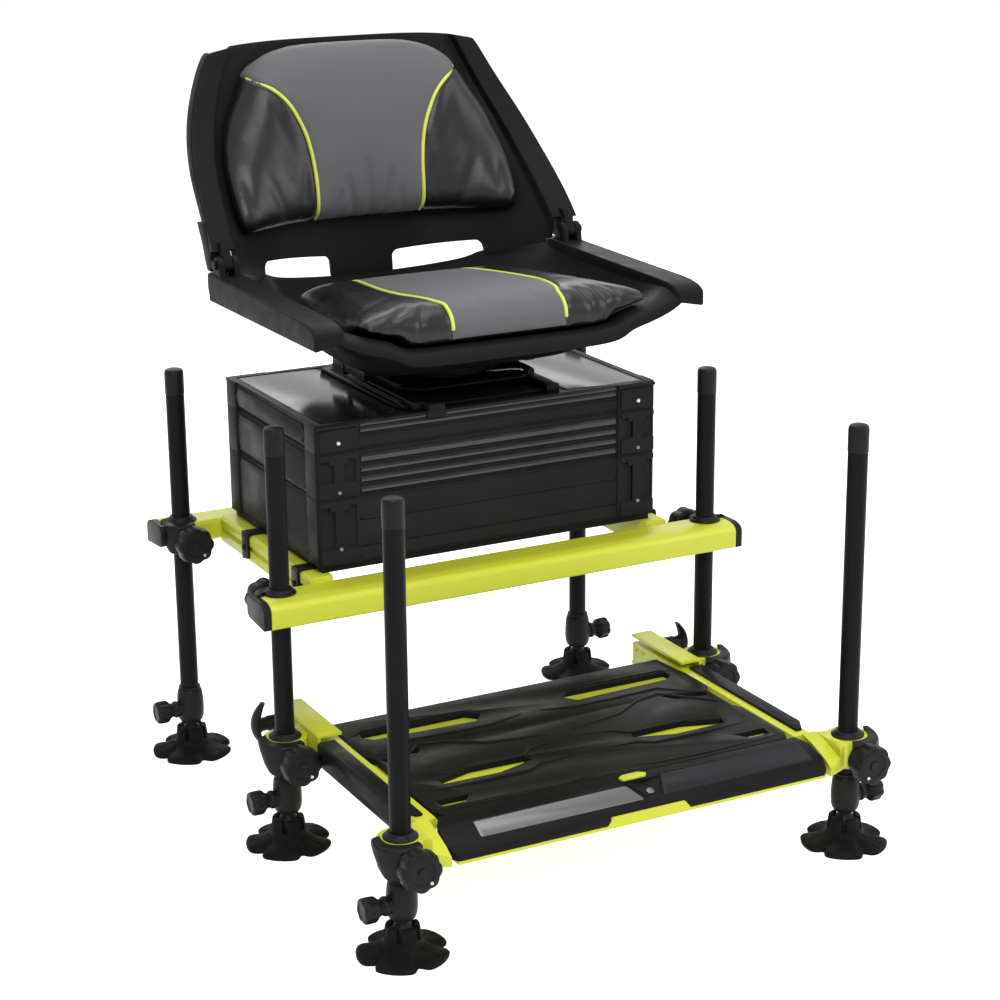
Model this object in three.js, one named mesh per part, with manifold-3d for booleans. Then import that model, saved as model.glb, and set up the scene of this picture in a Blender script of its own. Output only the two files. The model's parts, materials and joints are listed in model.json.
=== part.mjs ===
// Fishing seat box: a folding swivel seat on a tiered tackle box, a rail frame on four
// telescoping legs, and a slide-out footplate that stands on two more legs.
// Millimetres, +Z up. The sitter faces -Y, and left means -X, as seen from the front.

import * as THREE from "three";
import { mergeVertices } from "three/addons/utils/BufferGeometryUtils.js";
import Module from "manifold-3d";

const wasm = await Module();
wasm.setup();

// Clearances
const fit = 0.3; // gap between pieces that seat on each other
const socketPlay = 0.9; // gap round the ball in each foot, and inside each jaw
const padPlay = 3.6; // gap between a cushion and the shell that holds it
const hingePlay = 0.6; // side gap in the hinges
const overrun = 4; // how far a cut passes the face that it opens
const weld = 0.001; // points nearer than this are one point

// Standing layout: the legs stand beside the tackle box
const boxHalfWidth = 246;
const legStandOff = 65; // box side to leg centre
const legSpacingX = 2 * (boxHalfWidth + legStandOff);
const legSpacingY = 348;
const footplateReach = 338; // front legs to footplate legs

// Legs
const legRadius = 12.5;
const legTop = 552;
const capLength = 34;
const capLip = 0.5; // how far the cap stands out of the tube
const capRound = 6;
const legSides = 12;

// Foot, its ball joint and the shoe that clamps it to the leg
const ballRadius = 14;
const ballHeight = 30;
const ballNeckRadius = 8;
const shoeUnderside = 46;
const shoeTop = 98;
const shoeRadius = 18.5;
const footRadius = 55;
const footNotch = 14; // how deep the gaps between the lobes are
const footEdge = 8; // thickness of the rim
const footDome = 15; // height of the dome at the hub
const footLobes = 5;
const hubRadius = 20;
const hubFoot = 25; // radius where the hub stands on the dome
const hubTop = 39;
const fingerSlot = 7;

// Lock knob on each shoe
const shoeKnobHeight = 66;
const shoeBossRadius = 10;
const shoeBossReach = 29;
const shoeKnobRadius = 16;
const shoeKnobLength = 22;

// Frame rails
const railEndReach = 26.5; // leg centre to the rail's end
const railHalfLength = legSpacingX / 2 + railEndReach;
const railUnderside = 305;
const railHeight = 34;
const railNose = 38; // leg centre to the outer face
const railInner = 19; // leg centre to the face beside the box
const sideRailProud = 16; // box side to the side rail's outer face
const sideRailOuter = boxHalfWidth + sideRailProud;
const sideRailWidth = 32;
const sideRailHeight = 38.6;

// Leg clamps: a liner round the leg, a curved jaw and a hand knob
const linerWall = 3.5;
const linerFlange = 8; // how far the top flange stands out of the leg
const linerFlangeHeight = 7;
const railRing = 22; // radius of the metal round the liner at a rail's end
const bracketRing = 28; // and in the footplate's brackets
const jawThickness = 10;
const jawHeight = 37;
const jawNeck = 18; // width of the pad that reaches through to the leg
const knobRadius = 24;
const knobWaist = 2.6; // how far the grip is drawn in between its lobes
const knobDepth = 22;
const knobFace = 60; // leg centre to the front of the knob
const knobDish = 3;
const screwRadius = 4;
const knobLobes = 8;
const endCapThickness = 10;

// Tackle box tiers
const boxFront = 150;
const boxBack = 155;
const deepTrayHeight = 95.6;
const shallowTrayHeight = 60;
const lidHeight = 36;
const tierWall = 8;
const tierFloor = 4;
const postWidth = 58;
const postDepth = 36;
const postProud = 2.5; // how far the corner posts stand out of the panels
const postChamfer = 5;
const postBlock = 24; // height of the block at the foot of each post
const postFlange = 11; // height of the flange at its top
const pocketEdge = 5;
const pocketBar = 14; // width of the bar between the pockets
const pocketDepth = 3;
const ribDepth = 2;
const plinthInset = 6;
const plinthHeight = 9;
const lidRecess = 1.5;
const lidRim = 12;
const lidHingeRadius = 5;
const lidHingeX = 150;
const lidHingeLength = 44;

// Seat base and swivel
const basePlateHalfWidth = 118;
const basePlateFront = 128;
const basePlateBack = 126;
const basePlateThickness = 5;
const bearingRadius = 66;
const bearingHeight = 9;
const swivelPlateHalf = 98;
const swivelPlateThickness = 4;
const swivelRim = 9; // how far the plate's sides turn up
const riserRadius = 70;

// Seat pan
const seatThickness = 5;
const panFront = 222;
const panBack = 240;
const panBackSweep = 103; // how far the sides' rear ends lie ahead of the middle's
const panFloor = 574; // lowest point of the dish, top face
const panLip = 632; // top of the front edge
const panRim = 643; // top of the rear edge, in the middle
const panRimBow = 13; // how far the rear edge rises towards the sides
const panFloorHalf = 150;
const armInner = 239;
const armOuter = 273;
const armFrontTop = 667;
const armHingeTop = 685;
const armUnderside = 648;

// Seat back
const hingeY = 104;
const hingeZ = 699;
const earRadius = 11;
const earThickness = 8;
const earRoom = 6; // gap between the ears and the pillar's foot
const hingePinRadius = 4;
const backBottom = 650;
const backTop = 965;
const backTopBow = 12.4; // how far the top edge falls towards its corners
const backStandOut = 8; // how far the pillars' feet stand out of the arms
const backBottomHalf = armOuter + backStandOut;
const backTopHalf = 200;
const backMiddleBottomY = 246;
const backMiddleTopY = 292;
const backSweep = 140; // how far the side pillars' feet lie ahead of the middle
const pillarWidth = 36;
const pillarStep = 14;
const pillarSide = 24;
const windowTop = 667;
const windowRise = 11;
const windowNear = 48;
const windowFar = 167;

// Cushions
const seatCushionHalf = 205;
const seatCushionBackHalf = 158;
const seatCushionFront = 205;
const seatCushionBack = 118;
const seatCushionTop = 686;
const seatCushionBackTop = 662;
const cushionStandOff = 12; // gap beside the cushion's foot, to the pan's wall
const seamX = 82; // the piped seams, either side of the middle
const seamDepth = 4;
const backCushionTop = 924; // at its corners
const backCushionArch = 35; // how far its top rises in the middle
const backCushionBottom = 722;
const backCushionTopHalf = 160;
const backCushionWideHalf = 214;
const backCushionThickness = 52;

// Footplate frame
const bracketUnderside = 113;
const bracketHeight = 35;
const armTop = 157;
const armStandIn = 27.5; // leg centre to the arm's outer face
const armOuterX = legSpacingX / 2 - armStandIn;
const armWall = 4;
const armBackY = 85;
const armFrontY = 215;
const slidePlay = 3.5; // gap beside the slide in the arm's channel
const slideWidth = 25;
const slideOuter = armOuterX - armWall - slidePlay;
const slideInner = slideOuter - slideWidth;
const slideTop = 146;
const slideBackY = 88;
const slideFrontY = 482;
const slidePinRadius = 2.6;
const slidePinHeight = 137;

// Footplate
const deckPlay = 1; // gap between the deck and each slide
const deckHalfWidth = slideInner - deckPlay;
const deckBackY = 165;
const deckFrontY = 482;
const deckTop = 147;
const deckThickness = 8;
const panPlateThickness = 5;
const panFrontY = 500;
const barOverlap = 11; // how far the bar laps over each slide
const barHalfLength = slideInner + barOverlap;
const barFrontY = 547;
const barUnderside = 118;
const barNotchX = 19; // the notch lies off the middle
const barNotchHalf = 27;
const barNotchDepth = 28;
const flangeThickness = 3.7;
const tabHalfWidth = 59;
const tabHeight = 9;
const tabThickness = 4;
const channelProud = 2.5; // how far the channels stand out of the arms
const channelOuter = armOuterX + channelProud;
const channelBackY = 217;
const channelFrontY = 470;
const channelWall = 3.5;

// Wing knobs that lock the slides
const wingY = 105;
const wingHeight = 140;
const wingSpan = 31;
const wingStandOut = 18; // leg centre to the outer face
const wingReach = legSpacingX / 2 + wingStandOut;
const wingThickness = 10;
const wingHalfDepth = 10;
const wingStemRadius = 10;

// Materials
const black = { color: 0x1b1b1d, roughness: 0.55, metalness: 0 };
const satinBlack = { color: 0x141416, roughness: 0.35, metalness: 0.6 };
const lime = { color: 0xc3d82e, roughness: 0.38, metalness: 0.55 };
const shell = { color: 0x232325, roughness: 0.7, metalness: 0 };
const leatherette = { color: 0x1c1c1e, roughness: 0.4, metalness: 0 };

// Levels that follow from the sizes
const linerRadius = legRadius + fit + linerWall;
const railTop = railUnderside + railHeight;
const boxUnderside = railUnderside + sideRailHeight + fit;
const shallowUnderside = boxUnderside + deepTrayHeight + fit;
const lidUnderside = shallowUnderside + shallowTrayHeight + fit;
const lidTop = lidUnderside + lidHeight;
const bracketTop = bracketUnderside + bracketHeight;
const baseUnderside = lidTop - lidRecess + fit;
const bearingTop = baseUnderside + basePlateThickness + bearingHeight;
const swivelUnderside = bearingTop + fit;
const frontLegY = -legSpacingY / 2;
const rearLegY = legSpacingY / 2;
const footplateLegY = frontLegY - footplateReach;

// Geometry helpers

// A closed three.js geometry as a solid, turned outside out if its faces point inwards.
function solidOf(geometry) {
  const bare = geometry.index ? geometry.toNonIndexed() : geometry.clone();
  bare.deleteAttribute("normal");
  bare.deleteAttribute("uv");
  const merged = mergeVertices(bare, weld);
  const corners = merged.index.array;
  const kept = [];
  for (let i = 0; i < corners.length; i += 3) {
    const [a, b, c] = [corners[i], corners[i + 1], corners[i + 2]];
    if (a !== b && b !== c && c !== a) kept.push(a, b, c);
  }
  const build = (triVerts) =>
    new wasm.Manifold(
      new wasm.Mesh({
        numProp: 3,
        vertProperties: merged.attributes.position.array,
        triVerts: new Uint32Array(triVerts),
      }),
    );
  const solid = build(kept);
  if (solid.volume() > 0) return solid;
  return build(kept.reverse());
}

function geometryOf(solid) {
  const { vertProperties, triVerts } = solid.getMesh();
  const geometry = new THREE.BufferGeometry();
  const position = new THREE.BufferAttribute(new Float32Array(vertProperties), 3);
  geometry.setAttribute("position", position);
  geometry.setIndex(new THREE.BufferAttribute(new Uint32Array(triVerts), 1));
  return geometry;
}

function join(first, ...others) {
  return geometryOf(others.reduce((sum, g) => sum.add(solidOf(g)), solidOf(first)));
}

function cut(body, ...cutters) {
  return geometryOf(cutters.reduce((left, g) => left.subtract(solidOf(g)), solidOf(body)));
}

function common(first, second) {
  return geometryOf(solidOf(first).intersect(solidOf(second)));
}

function moved(geometry, x, y, z) {
  return geometry.clone().translate(x, y, z);
}

// The other hand of a geometry, mirrored in the plane X = 0.
function mirrored(geometry) {
  const other = geometryOf(solidOf(geometry));
  other.scale(-1, 1, 1);
  const index = other.index.array;
  for (let i = 0; i < index.length; i += 3) {
    [index[i], index[i + 1]] = [index[i + 1], index[i]];
  }
  return other;
}

// Pushes an outline along one axis, from one place to another. The outline's points are
// (y, z) for axis x, (z, x) for axis y and (x, y) for axis z.
function pushed(axis, outline, from, to) {
  const shape = new THREE.Shape(outline.map(([a, b]) => new THREE.Vector2(a, b)));
  const geometry = new THREE.ExtrudeGeometry(shape, {
    depth: to - from,
    bevelEnabled: false,
    curveSegments: 1,
  });
  geometry.translate(0, 0, from);
  const turn = new THREE.Matrix4();
  if (axis === "x") turn.set(0, 0, 1, 0, 1, 0, 0, 0, 0, 1, 0, 0, 0, 0, 0, 1);
  if (axis === "y") turn.set(0, 1, 0, 0, 0, 0, 1, 0, 1, 0, 0, 0, 0, 0, 0, 1);
  return geometry.applyMatrix4(turn);
}

function rectangle(a0, b0, a1, b1) {
  return [
    [a0, b0],
    [a1, b0],
    [a1, b1],
    [a0, b1],
  ];
}

function block(x0, y0, z0, x1, y1, z1) {
  return pushed("z", rectangle(x0, y0, x1, y1), z0, z1);
}

function circle(radius, sides, a = 0, b = 0) {
  return Array.from({ length: sides }, (_, i) => {
    const angle = (2 * Math.PI * i) / sides;
    return [a + radius * Math.cos(angle), b + radius * Math.sin(angle)];
  });
}

// Points of an arc, from one angle to another, both ends included.
function arc(radius, from, to, steps, a = 0, b = 0) {
  return Array.from({ length: steps + 1 }, (_, i) => {
    const angle = from + ((to - from) * i) / steps;
    return [a + radius * Math.cos(angle), b + radius * Math.sin(angle)];
  });
}

// Spins a profile of (radius, height) points round the Z axis.
function turned(profile, sides) {
  const points = profile.map(([r, h]) => new THREE.Vector2(r, h));
  const lathe = new THREE.LatheGeometry(points, sides).rotateX(Math.PI / 2);
  return geometryOf(solidOf(lathe));
}

// A table of shares, stretched to a width and a height from an origin.
function spread(shares, a0, a1, b0, b1) {
  return shares.map(([a, b]) => [a0 + a * (a1 - a0), b0 + b * (b1 - b0)]);
}

// A straight-line reading of a table of [place, value] pairs.
function readTable(table, place) {
  const last = table.length - 1;
  if (place <= table[0][0]) return table[0][1];
  for (let i = 0; i < last; i += 1) {
    const [p0, v0] = table[i];
    const [p1, v1] = table[i + 1];
    if (place <= p1) return v0 + ((v1 - v0) * (place - p0)) / (p1 - p0);
  }
  return table[last][1];
}

// Closes two matching grids of points, an upper and a lower one, into one solid skin.
function skin(upper, lower) {
  const rows = upper.length;
  const columns = upper[0].length;
  const positions = [...upper.flat(2), ...lower.flat(2)];
  const at = (side, r, c) => side * rows * columns + r * columns + c;
  const index = [];
  const quad = (a, b, c, d) => index.push(a, b, c, a, c, d);
  for (let r = 0; r + 1 < rows; r += 1) {
    for (let c = 0; c + 1 < columns; c += 1) {
      quad(at(0, r, c), at(0, r, c + 1), at(0, r + 1, c + 1), at(0, r + 1, c));
      quad(at(1, r, c), at(1, r + 1, c), at(1, r + 1, c + 1), at(1, r, c + 1));
    }
    const end = columns - 1;
    quad(at(0, r, 0), at(0, r + 1, 0), at(1, r + 1, 0), at(1, r, 0));
    quad(at(0, r + 1, end), at(0, r, end), at(1, r, end), at(1, r + 1, end));
  }
  for (let c = 0; c + 1 < columns; c += 1) {
    const end = rows - 1;
    quad(at(0, 0, c + 1), at(0, 0, c), at(1, 0, c), at(1, 0, c + 1));
    quad(at(0, end, c), at(0, end, c + 1), at(1, end, c + 1), at(1, end, c));
  }
  const geometry = new THREE.BufferGeometry();
  geometry.setAttribute("position", new THREE.Float32BufferAttribute(positions, 3));
  geometry.setIndex(index);
  return geometryOf(solidOf(geometry));
}

// Moves each point of a line in a plane sideways by a thickness, along the line's normal.
function offsetLine(line, thickness) {
  return line.map(([a, b], i) => {
    const [a0, b0] = line[Math.max(i - 1, 0)];
    const [a1, b1] = line[Math.min(i + 1, line.length - 1)];
    const length = Math.hypot(a1 - a0, b1 - b0);
    return [a + (thickness * (b1 - b0)) / length, b - (thickness * (a1 - a0)) / length];
  });
}

// Legs: tube, rounded cap, and the shoe with its ball
function legWithShoe() {
  const capRadius = legRadius + capLip;
  const neckHeight = ballHeight + Math.sqrt(ballRadius ** 2 - ballNeckRadius ** 2);
  const ballTurns = [-1, -0.55, 0.05].map((share) => (share * Math.PI) / 2);
  const ball = ballTurns.map((turn) => [
    ballRadius * Math.cos(turn),
    ballHeight + ballRadius * Math.sin(turn),
  ]);
  ball[0][0] = 0;
  const shoeShares = [
    [0.62, 0],
    [0.9, 0.12],
    [1, 0.3],
    [1, 0.52],
    [0.9, 0.82],
    [0.8, 1],
  ];
  const shoe = spread(shoeShares, 0, shoeRadius, shoeUnderside, shoeTop);
  const capShares = [
    [1, 0],
    [0.8, 0.65],
    [0, 1],
  ];
  const cap = spread(capShares, 0, capRadius, legTop - capRound, legTop);
  const profile = [
    ...ball,
    [ballNeckRadius, neckHeight],
    [ballNeckRadius, shoeUnderside],
    ...shoe,
    [legRadius, shoeTop],
    [legRadius, legTop - capLength],
    [capRadius, legTop - capLength],
    ...cap,
  ];
  const boss = pushed(
    "x",
    circle(shoeBossRadius, 12, 0, shoeKnobHeight),
    -shoeBossReach,
    -legRadius / 2,
  );
  return join(turned(profile, legSides), boss);
}

function shoeKnob() {
  const near = -shoeBossReach - fit;
  const gripShares = [
    [0.55, 0],
    [1, 0.28],
    [1, 0.8],
    [0.8, 1],
    [0, 1],
  ];
  const grip = [[0, near], ...spread(gripShares, 0, shoeKnobRadius, near, near - shoeKnobLength)];
  const geometry = turned(grip, 14).rotateY(Math.PI / 2);
  return moved(geometry, 0, 0, shoeKnobHeight);
}

// A mud foot: five rounded lobes, a dome, and a slotted hub that grips the ball
function mudFoot() {
  const steps = footLobes * 4;
  const ringShares = [
    [0.93, 0],
    [1, 0.45],
    [0.97, 1],
  ];
  const lobe = (i) => (1 + Math.cos((2 * Math.PI * footLobes * i) / steps)) / 2;
  const ring = (radius, notch, height) =>
    Array.from({ length: steps }, (_, i) => {
      const angle = (2 * Math.PI * i) / steps;
      const reach = radius - notch * (1 - lobe(i));
      return [reach * Math.sin(angle), -reach * Math.cos(angle), height];
    });
  const rings = ringShares.map(([reachShare, heightShare]) =>
    ring(footRadius * reachShare, footNotch, footEdge * heightShare),
  );
  const shoulder = (footRadius + hubFoot) / 2;
  rings.push(ring(shoulder, footNotch / 2, (footEdge + footDome) / 2));
  rings.push(ring(hubFoot, 0, footDome));
  const disc = loftRings(rings);
  const hub = turned(
    [
      [0, footEdge],
      [hubFoot, footEdge],
      [hubFoot - hubRadius / 10, footDome],
      [hubRadius, hubTop],
      [0, hubTop],
    ],
    15,
  );
  const socket = new THREE.SphereGeometry(ballRadius + socketPlay, 12, 8).rotateX(Math.PI / 2);
  const slots = Array.from({ length: footLobes }, (_, i) => {
    const slot = block(
      0,
      -fingerSlot / 2,
      ballHeight - ballRadius / 2,
      hubFoot + overrun,
      fingerSlot / 2,
      hubTop + overrun,
    );
    return slot.rotateZ((2 * Math.PI * (i + 1 / 4)) / footLobes);
  });
  return cut(join(disc, hub), moved(socket, 0, 0, ballHeight), ...slots);
}

// A closed solid through rings of points, with a flat fan at each end
function loftRings(rings) {
  const count = rings[0].length;
  const last = rings.length - 1;
  const positions = rings.flat(2);
  const index = [];
  for (let r = 0; r < last; r += 1) {
    for (let i = 0; i < count; i += 1) {
      const a = r * count + i;
      const b = r * count + ((i + 1) % count);
      index.push(a, b, b + count, a, b + count, a + count);
    }
  }
  for (let i = 1; i + 1 < count; i += 1) {
    index.push(0, i + 1, i);
    index.push(last * count, last * count + i, last * count + i + 1);
  }
  const geometry = new THREE.BufferGeometry();
  geometry.setAttribute("position", new THREE.Float32BufferAttribute(positions, 3));
  geometry.setIndex(index);
  return geometryOf(solidOf(geometry));
}

// Leg clamp, with its knob towards -Y and the jaw's tip towards -X. The metal that it
// grips lies between two heights.
function clampBody(metalUnderside, metalTop, ring) {
  const bore = legRadius + fit;
  const flangeRadius = legRadius + linerFlange;
  const top = metalTop + fit + linerFlangeHeight;
  const lower = metalUnderside - fit - linerFlangeHeight / 2;
  const collarShares = [
    [1, 0],
    [1, 0.45],
    [0.8, 1],
  ];
  const collar = spread(collarShares, 0, flangeRadius, metalTop + fit, top);
  const liner = turned(
    [
      [bore, lower],
      [linerRadius + linerWall / 2, lower],
      [linerRadius + linerWall / 2, metalUnderside - fit],
      [linerRadius, metalUnderside - fit],
      [linerRadius, metalTop + fit],
      ...collar,
      [bore, top],
      [bore, lower],
    ],
    legSides,
  );
  const jawTop = metalTop - fit - jawHeight / 8;
  const jawBottom = jawTop - jawHeight;
  const inner = ring + socketPlay;
  const shift = jawThickness / 8;
  const outer = inner + jawThickness - shift;
  const tipTurn = Math.PI * 0.98;
  const heelTurn = Math.PI * 1.6;
  const crescent = [
    ...arc(outer, tipTurn, heelTurn, 6, -shift, shift),
    ...arc(inner, heelTurn, tipTurn, 6),
  ];
  const jaw = pushed("z", crescent, jawBottom, jawTop);
  const slope = pushed(
    "y",
    [
      [jawBottom - overrun, -outer - overrun],
      [jawTop - jawHeight / 3, -outer - overrun],
      [jawBottom - overrun, 0],
    ],
    -outer - overrun,
    outer,
  );
  const knobHeight = jawBottom + knobRadius * 0.85;
  const boss = pushed(
    "y",
    circle(knobRadius * 0.62, 10, knobHeight, 0),
    -knobFace + knobDepth + fit,
    -inner - jawThickness / 2,
  );
  const pad = block(
    -jawNeck / 2,
    -inner - jawThickness / 3,
    knobHeight - jawNeck / 2,
    jawNeck / 2,
    -legRadius - fit - linerWall / 2,
    knobHeight + jawNeck / 2,
  );
  const screwHole = pushed(
    "y",
    circle(screwRadius + fit * 2, 8, knobHeight, 0),
    -knobFace,
    0,
  );
  return cut(join(cut(jaw, slope), boss, pad, liner), screwHole);
}

// Height of a clamp's knob above the ground
function knobHeightOf(metalTop) {
  return metalTop - fit - jawHeight / 8 - jawHeight + knobRadius * 0.85;
}

// Room for a clamp in the metal round its leg: the liner's bore and the pad's window
function clampRoom(metalUnderside, metalTop) {
  const bore = pushed(
    "z",
    circle(linerRadius + fit, legSides),
    metalUnderside - overrun,
    metalTop + overrun,
  );
  const padHeight = knobHeightOf(metalTop);
  const padWindow = block(
    -jawNeck / 2 - fit,
    -bracketRing - overrun,
    padHeight - jawNeck / 2 - fit,
    jawNeck / 2 + fit,
    0,
    padHeight + jawNeck / 2 + fit,
  );
  return [bore, padWindow];
}

// Hand knob with eight grips, a dished face and its clamping screw
function clampKnob(metalTop) {
  const back = -knobFace + knobDepth;
  const outline = Array.from({ length: knobLobes * 2 }, (_, i) => {
    const radius = i % 2 ? knobRadius - knobWaist : knobRadius;
    const angle = (Math.PI * (i + 1 / 2)) / knobLobes;
    return [radius * Math.cos(angle), radius * Math.sin(angle)];
  });
  const bevel = knobDepth / 6;
  const shrink = 1 - bevel / knobRadius;
  const ring = (scale, y) => outline.map(([a, b]) => [a * scale, y, b * scale]);
  const grip = loftRings([
    ring(shrink * shrink, -knobFace),
    ring(1, -knobFace + bevel * 1.5),
    ring(1, back - bevel),
    ring(shrink, back),
  ]);
  const dish = pushed("y", circle(knobRadius / 2, 10), -knobFace - overrun, -knobFace + knobDish);
  const screwEnd = -legRadius - fit * 2;
  const screw = pushed("y", circle(screwRadius, 8), back - knobDish, screwEnd);
  return moved(join(cut(grip, dish), screw), 0, 0, knobHeightOf(metalTop));
}

// Frame rail's section, from its outer face to its inner face: flat on top, with a
// rounded shoulder and a chamfered foot on the inner side
const railOutlineShares = [
  [0, 0.05],
  [0, 0.7],
  [0.03, 0.82],
  [0.1, 0.92],
  [0.27, 1],
  [0.92, 1],
  [1, 0.86],
  [1, 0.26],
  [0.9, 0.12],
  [0.05, 0],
];

function railOutline() {
  return spread(railOutlineShares, -railNose, railInner, railUnderside, railTop);
}

// Front rail, round its own leg line at Y = 0, with its inner face towards +Y. Its ends
// are rounded round the legs on the inner side, where the jaws sit.
function crossRail() {
  const rail = pushed("x", railOutline(), -railHalfLength, railHalfLength);
  const corner = (side) => {
    const x = (side * legSpacingX) / 2;
    const outward = side * (railHalfLength + overrun);
    const room = block(
      Math.min(x, outward),
      -railRing / 6,
      railUnderside - overrun,
      Math.max(x, outward),
      railInner + overrun,
      railTop + overrun,
    );
    const ring = pushed("z", circle(railRing, 24, x, 0), railUnderside - jawHeight, railTop + jawHeight);
    return cut(room, ring);
  };
  const rooms = [-1, 1].flatMap((side) =>
    clampRoom(railUnderside, railTop).map((g) =>
      moved(g.rotateZ(Math.PI), (side * legSpacingX) / 2, 0, 0),
    ),
  );
  return cut(rail, corner(-1), corner(1), ...rooms);
}

// Cap on the rail's end, joined to the clamp's jaw
function railEndCap() {
  const start = railHalfLength - legSpacingX / 2 + fit;
  const outline = spread(railOutlineShares, railNose, -railInner, railUnderside, railTop);
  return pushed("x", outline, -start - endCapThickness, -start);
}

// One of the four frame clamps, with its knob towards -Y and its cap towards -X
function frameClamp() {
  const cap = railEndCap();
  const bridge = block(
    -railRing - jawThickness,
    -railInner,
    railTop - jawHeight / 2,
    -railHalfLength + legSpacingX / 2 - fit,
    -railRing / 6,
    railTop - jawHeight / 8 - fit,
  );
  return join(clampBody(railUnderside, railTop, railRing), cap, bridge);
}

function sideRail() {
  const run = rearLegY - railInner - fit;
  const chamfer = sideRailWidth / 8;
  const low = railUnderside;
  const high = railUnderside + sideRailHeight;
  const inner = -sideRailOuter + sideRailWidth;
  const grooveShares = [0.42, 0.62];
  const grooveLow = low + sideRailHeight * grooveShares[0];
  const grooveHigh = low + sideRailHeight * grooveShares[1];
  const outline = [
    [low, -sideRailOuter + chamfer],
    [low, inner],
    [high, inner],
    [high, -sideRailOuter + chamfer],
    [high - chamfer, -sideRailOuter],
    [grooveHigh, -sideRailOuter],
    [grooveHigh, -sideRailOuter + chamfer],
    [grooveLow, -sideRailOuter + chamfer],
    [grooveLow, -sideRailOuter],
    [low + chamfer, -sideRailOuter],
  ];
  return pushed("y", outline, -run, run);
}

// Tackle box

// Outline of a ribbed wall pair, as (across, height) points, from a list of rib bands
function ribbedOutline(halfA, halfB, low, high, ribShares) {
  const side = (edge, direction) => {
    const points = [[edge, low]];
    for (const [from, to] of ribShares) {
      const z0 = low + from * (high - low);
      const z1 = low + to * (high - low);
      const inner = edge - direction * ribDepth;
      const slope = ribDepth / 2;
      points.push([edge, z0], [inner, z0 + slope], [inner, z1 - slope], [edge, z1]);
    }
    points.push([edge, high]);
    return points;
  };
  return [...side(halfB, 1), ...side(-halfA, -1).reverse()];
}

// The solid body of one tier, with grooved walls and four proud corner posts
function tierBody(low, high, ribShares) {
  const halfX = boxHalfWidth - postProud;
  const frontWall = boxFront - postProud;
  const backWall = boxBack - postProud;
  const frontBack = ribbedOutline(frontWall, backWall, low, high, ribShares);
  const sides = ribbedOutline(halfX, halfX, low, high, ribShares).map(([x, z]) => [z, x]);
  const core = common(
    pushed("x", frontBack, -halfX, halfX),
    pushed("y", sides, -frontWall, backWall),
  );
  const c = postChamfer;
  const post = (sx, y, sy) => {
    const x0 = sx * boxHalfWidth;
    const x1 = sx * (boxHalfWidth - postWidth);
    const y0 = sy * y;
    const y1 = sy * (y - postDepth);
    const outline = [
      [x0 - sx * c, y0],
      [x1, y0],
      [x1, y0 - sy * tierWall],
      [x0 - sx * tierWall, y1],
      [x0, y1],
      [x0, y0 - sy * c],
    ];
    return pushed("z", outline, low, high);
  };
  return join(
    core,
    post(-1, boxFront, -1),
    post(1, boxFront, -1),
    post(-1, boxBack, 1),
    post(1, boxBack, 1),
  );
}

function tierCavity(low, high) {
  const inset = tierWall + postProud;
  return block(
    -boxHalfWidth + inset,
    -boxFront + inset,
    low,
    boxHalfWidth - inset,
    boxBack - inset,
    high,
  );
}

// Pockets on both sides of the bar down the middle of each corner post
function postPockets(low, high) {
  const place = boxHalfWidth - postWidth / 2;
  const half = postWidth / 2 - pocketEdge;
  return [-1, 1].flatMap((side) =>
    [-1, 1].flatMap((hand) =>
      [-boxFront, boxBack].map((face) => {
        const x0 = side * place + (hand * pocketBar) / 2;
        const x1 = side * place + hand * half;
        return block(
          Math.min(x0, x1),
          face - pocketDepth,
          low,
          Math.max(x0, x1),
          face + pocketDepth,
          high,
        );
      }),
    ),
  );
}

// Rear hinge knuckles: the tray carries the outer pair of each hinge, the lid the middle
function lidKnuckles(outerPair) {
  const y = boxBack + lidHingeRadius + fit;
  const third = lidHingeLength / 3;
  const pieces = [];
  for (const side of [-1, 1]) {
    const centre = side * lidHingeX;
    const spans = outerPair
      ? [
          [centre - lidHingeLength / 2, centre - third / 2 - hingePlay],
          [centre + third / 2 + hingePlay, centre + lidHingeLength / 2],
        ]
      : [[centre - third / 2, centre + third / 2]];
    for (const [x0, x1] of spans) {
      const barrel = circle(lidHingeRadius, 10, y, lidUnderside);
      pieces.push(pushed("x", barrel, x0, x1));
      const reach = outerPair ? -lidHingeRadius * 1.6 : lidHingeRadius * 1.6;
      const low = Math.min(lidUnderside + reach, lidUnderside - Math.sign(reach) * -fit);
      const high = Math.max(lidUnderside + reach, lidUnderside - Math.sign(reach) * -fit);
      pieces.push(block(x0, boxBack - postProud - ribDepth - fit, low, x1, y, high));
    }
  }
  return pieces;
}

function deepTray() {
  const low = boxUnderside;
  const high = low + deepTrayHeight;
  const ribShares = [
    [0.2, 0.235],
    [0.62, 0.655],
    [0.94, 1],
  ];
  const body = tierBody(low + plinthHeight, high, ribShares);
  const plinth = block(
    -boxHalfWidth + plinthInset,
    -boxFront + plinthInset,
    low,
    boxHalfWidth - plinthInset,
    boxBack - plinthInset,
    low + plinthHeight + tierFloor,
  );
  const shell = cut(
    join(body, plinth),
    tierCavity(low + plinthHeight + tierFloor, high + overrun),
    ...postPockets(low + postBlock + plinthHeight, high - postFlange),
  );
  return shell;
}

function shallowTray() {
  const low = shallowUnderside;
  const high = low + shallowTrayHeight;
  const ribShares = [
    [0, 0.06],
    [0.2, 0.28],
    [0.42, 0.5],
    [0.64, 0.72],
    [0.9, 1],
  ];
  const shell = cut(
    tierBody(low, high, ribShares),
    tierCavity(low + tierFloor, high + overrun),
    ...postPockets(low + postBlock, high - postFlange),
  );
  return join(shell, ...lidKnuckles(true));
}

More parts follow.
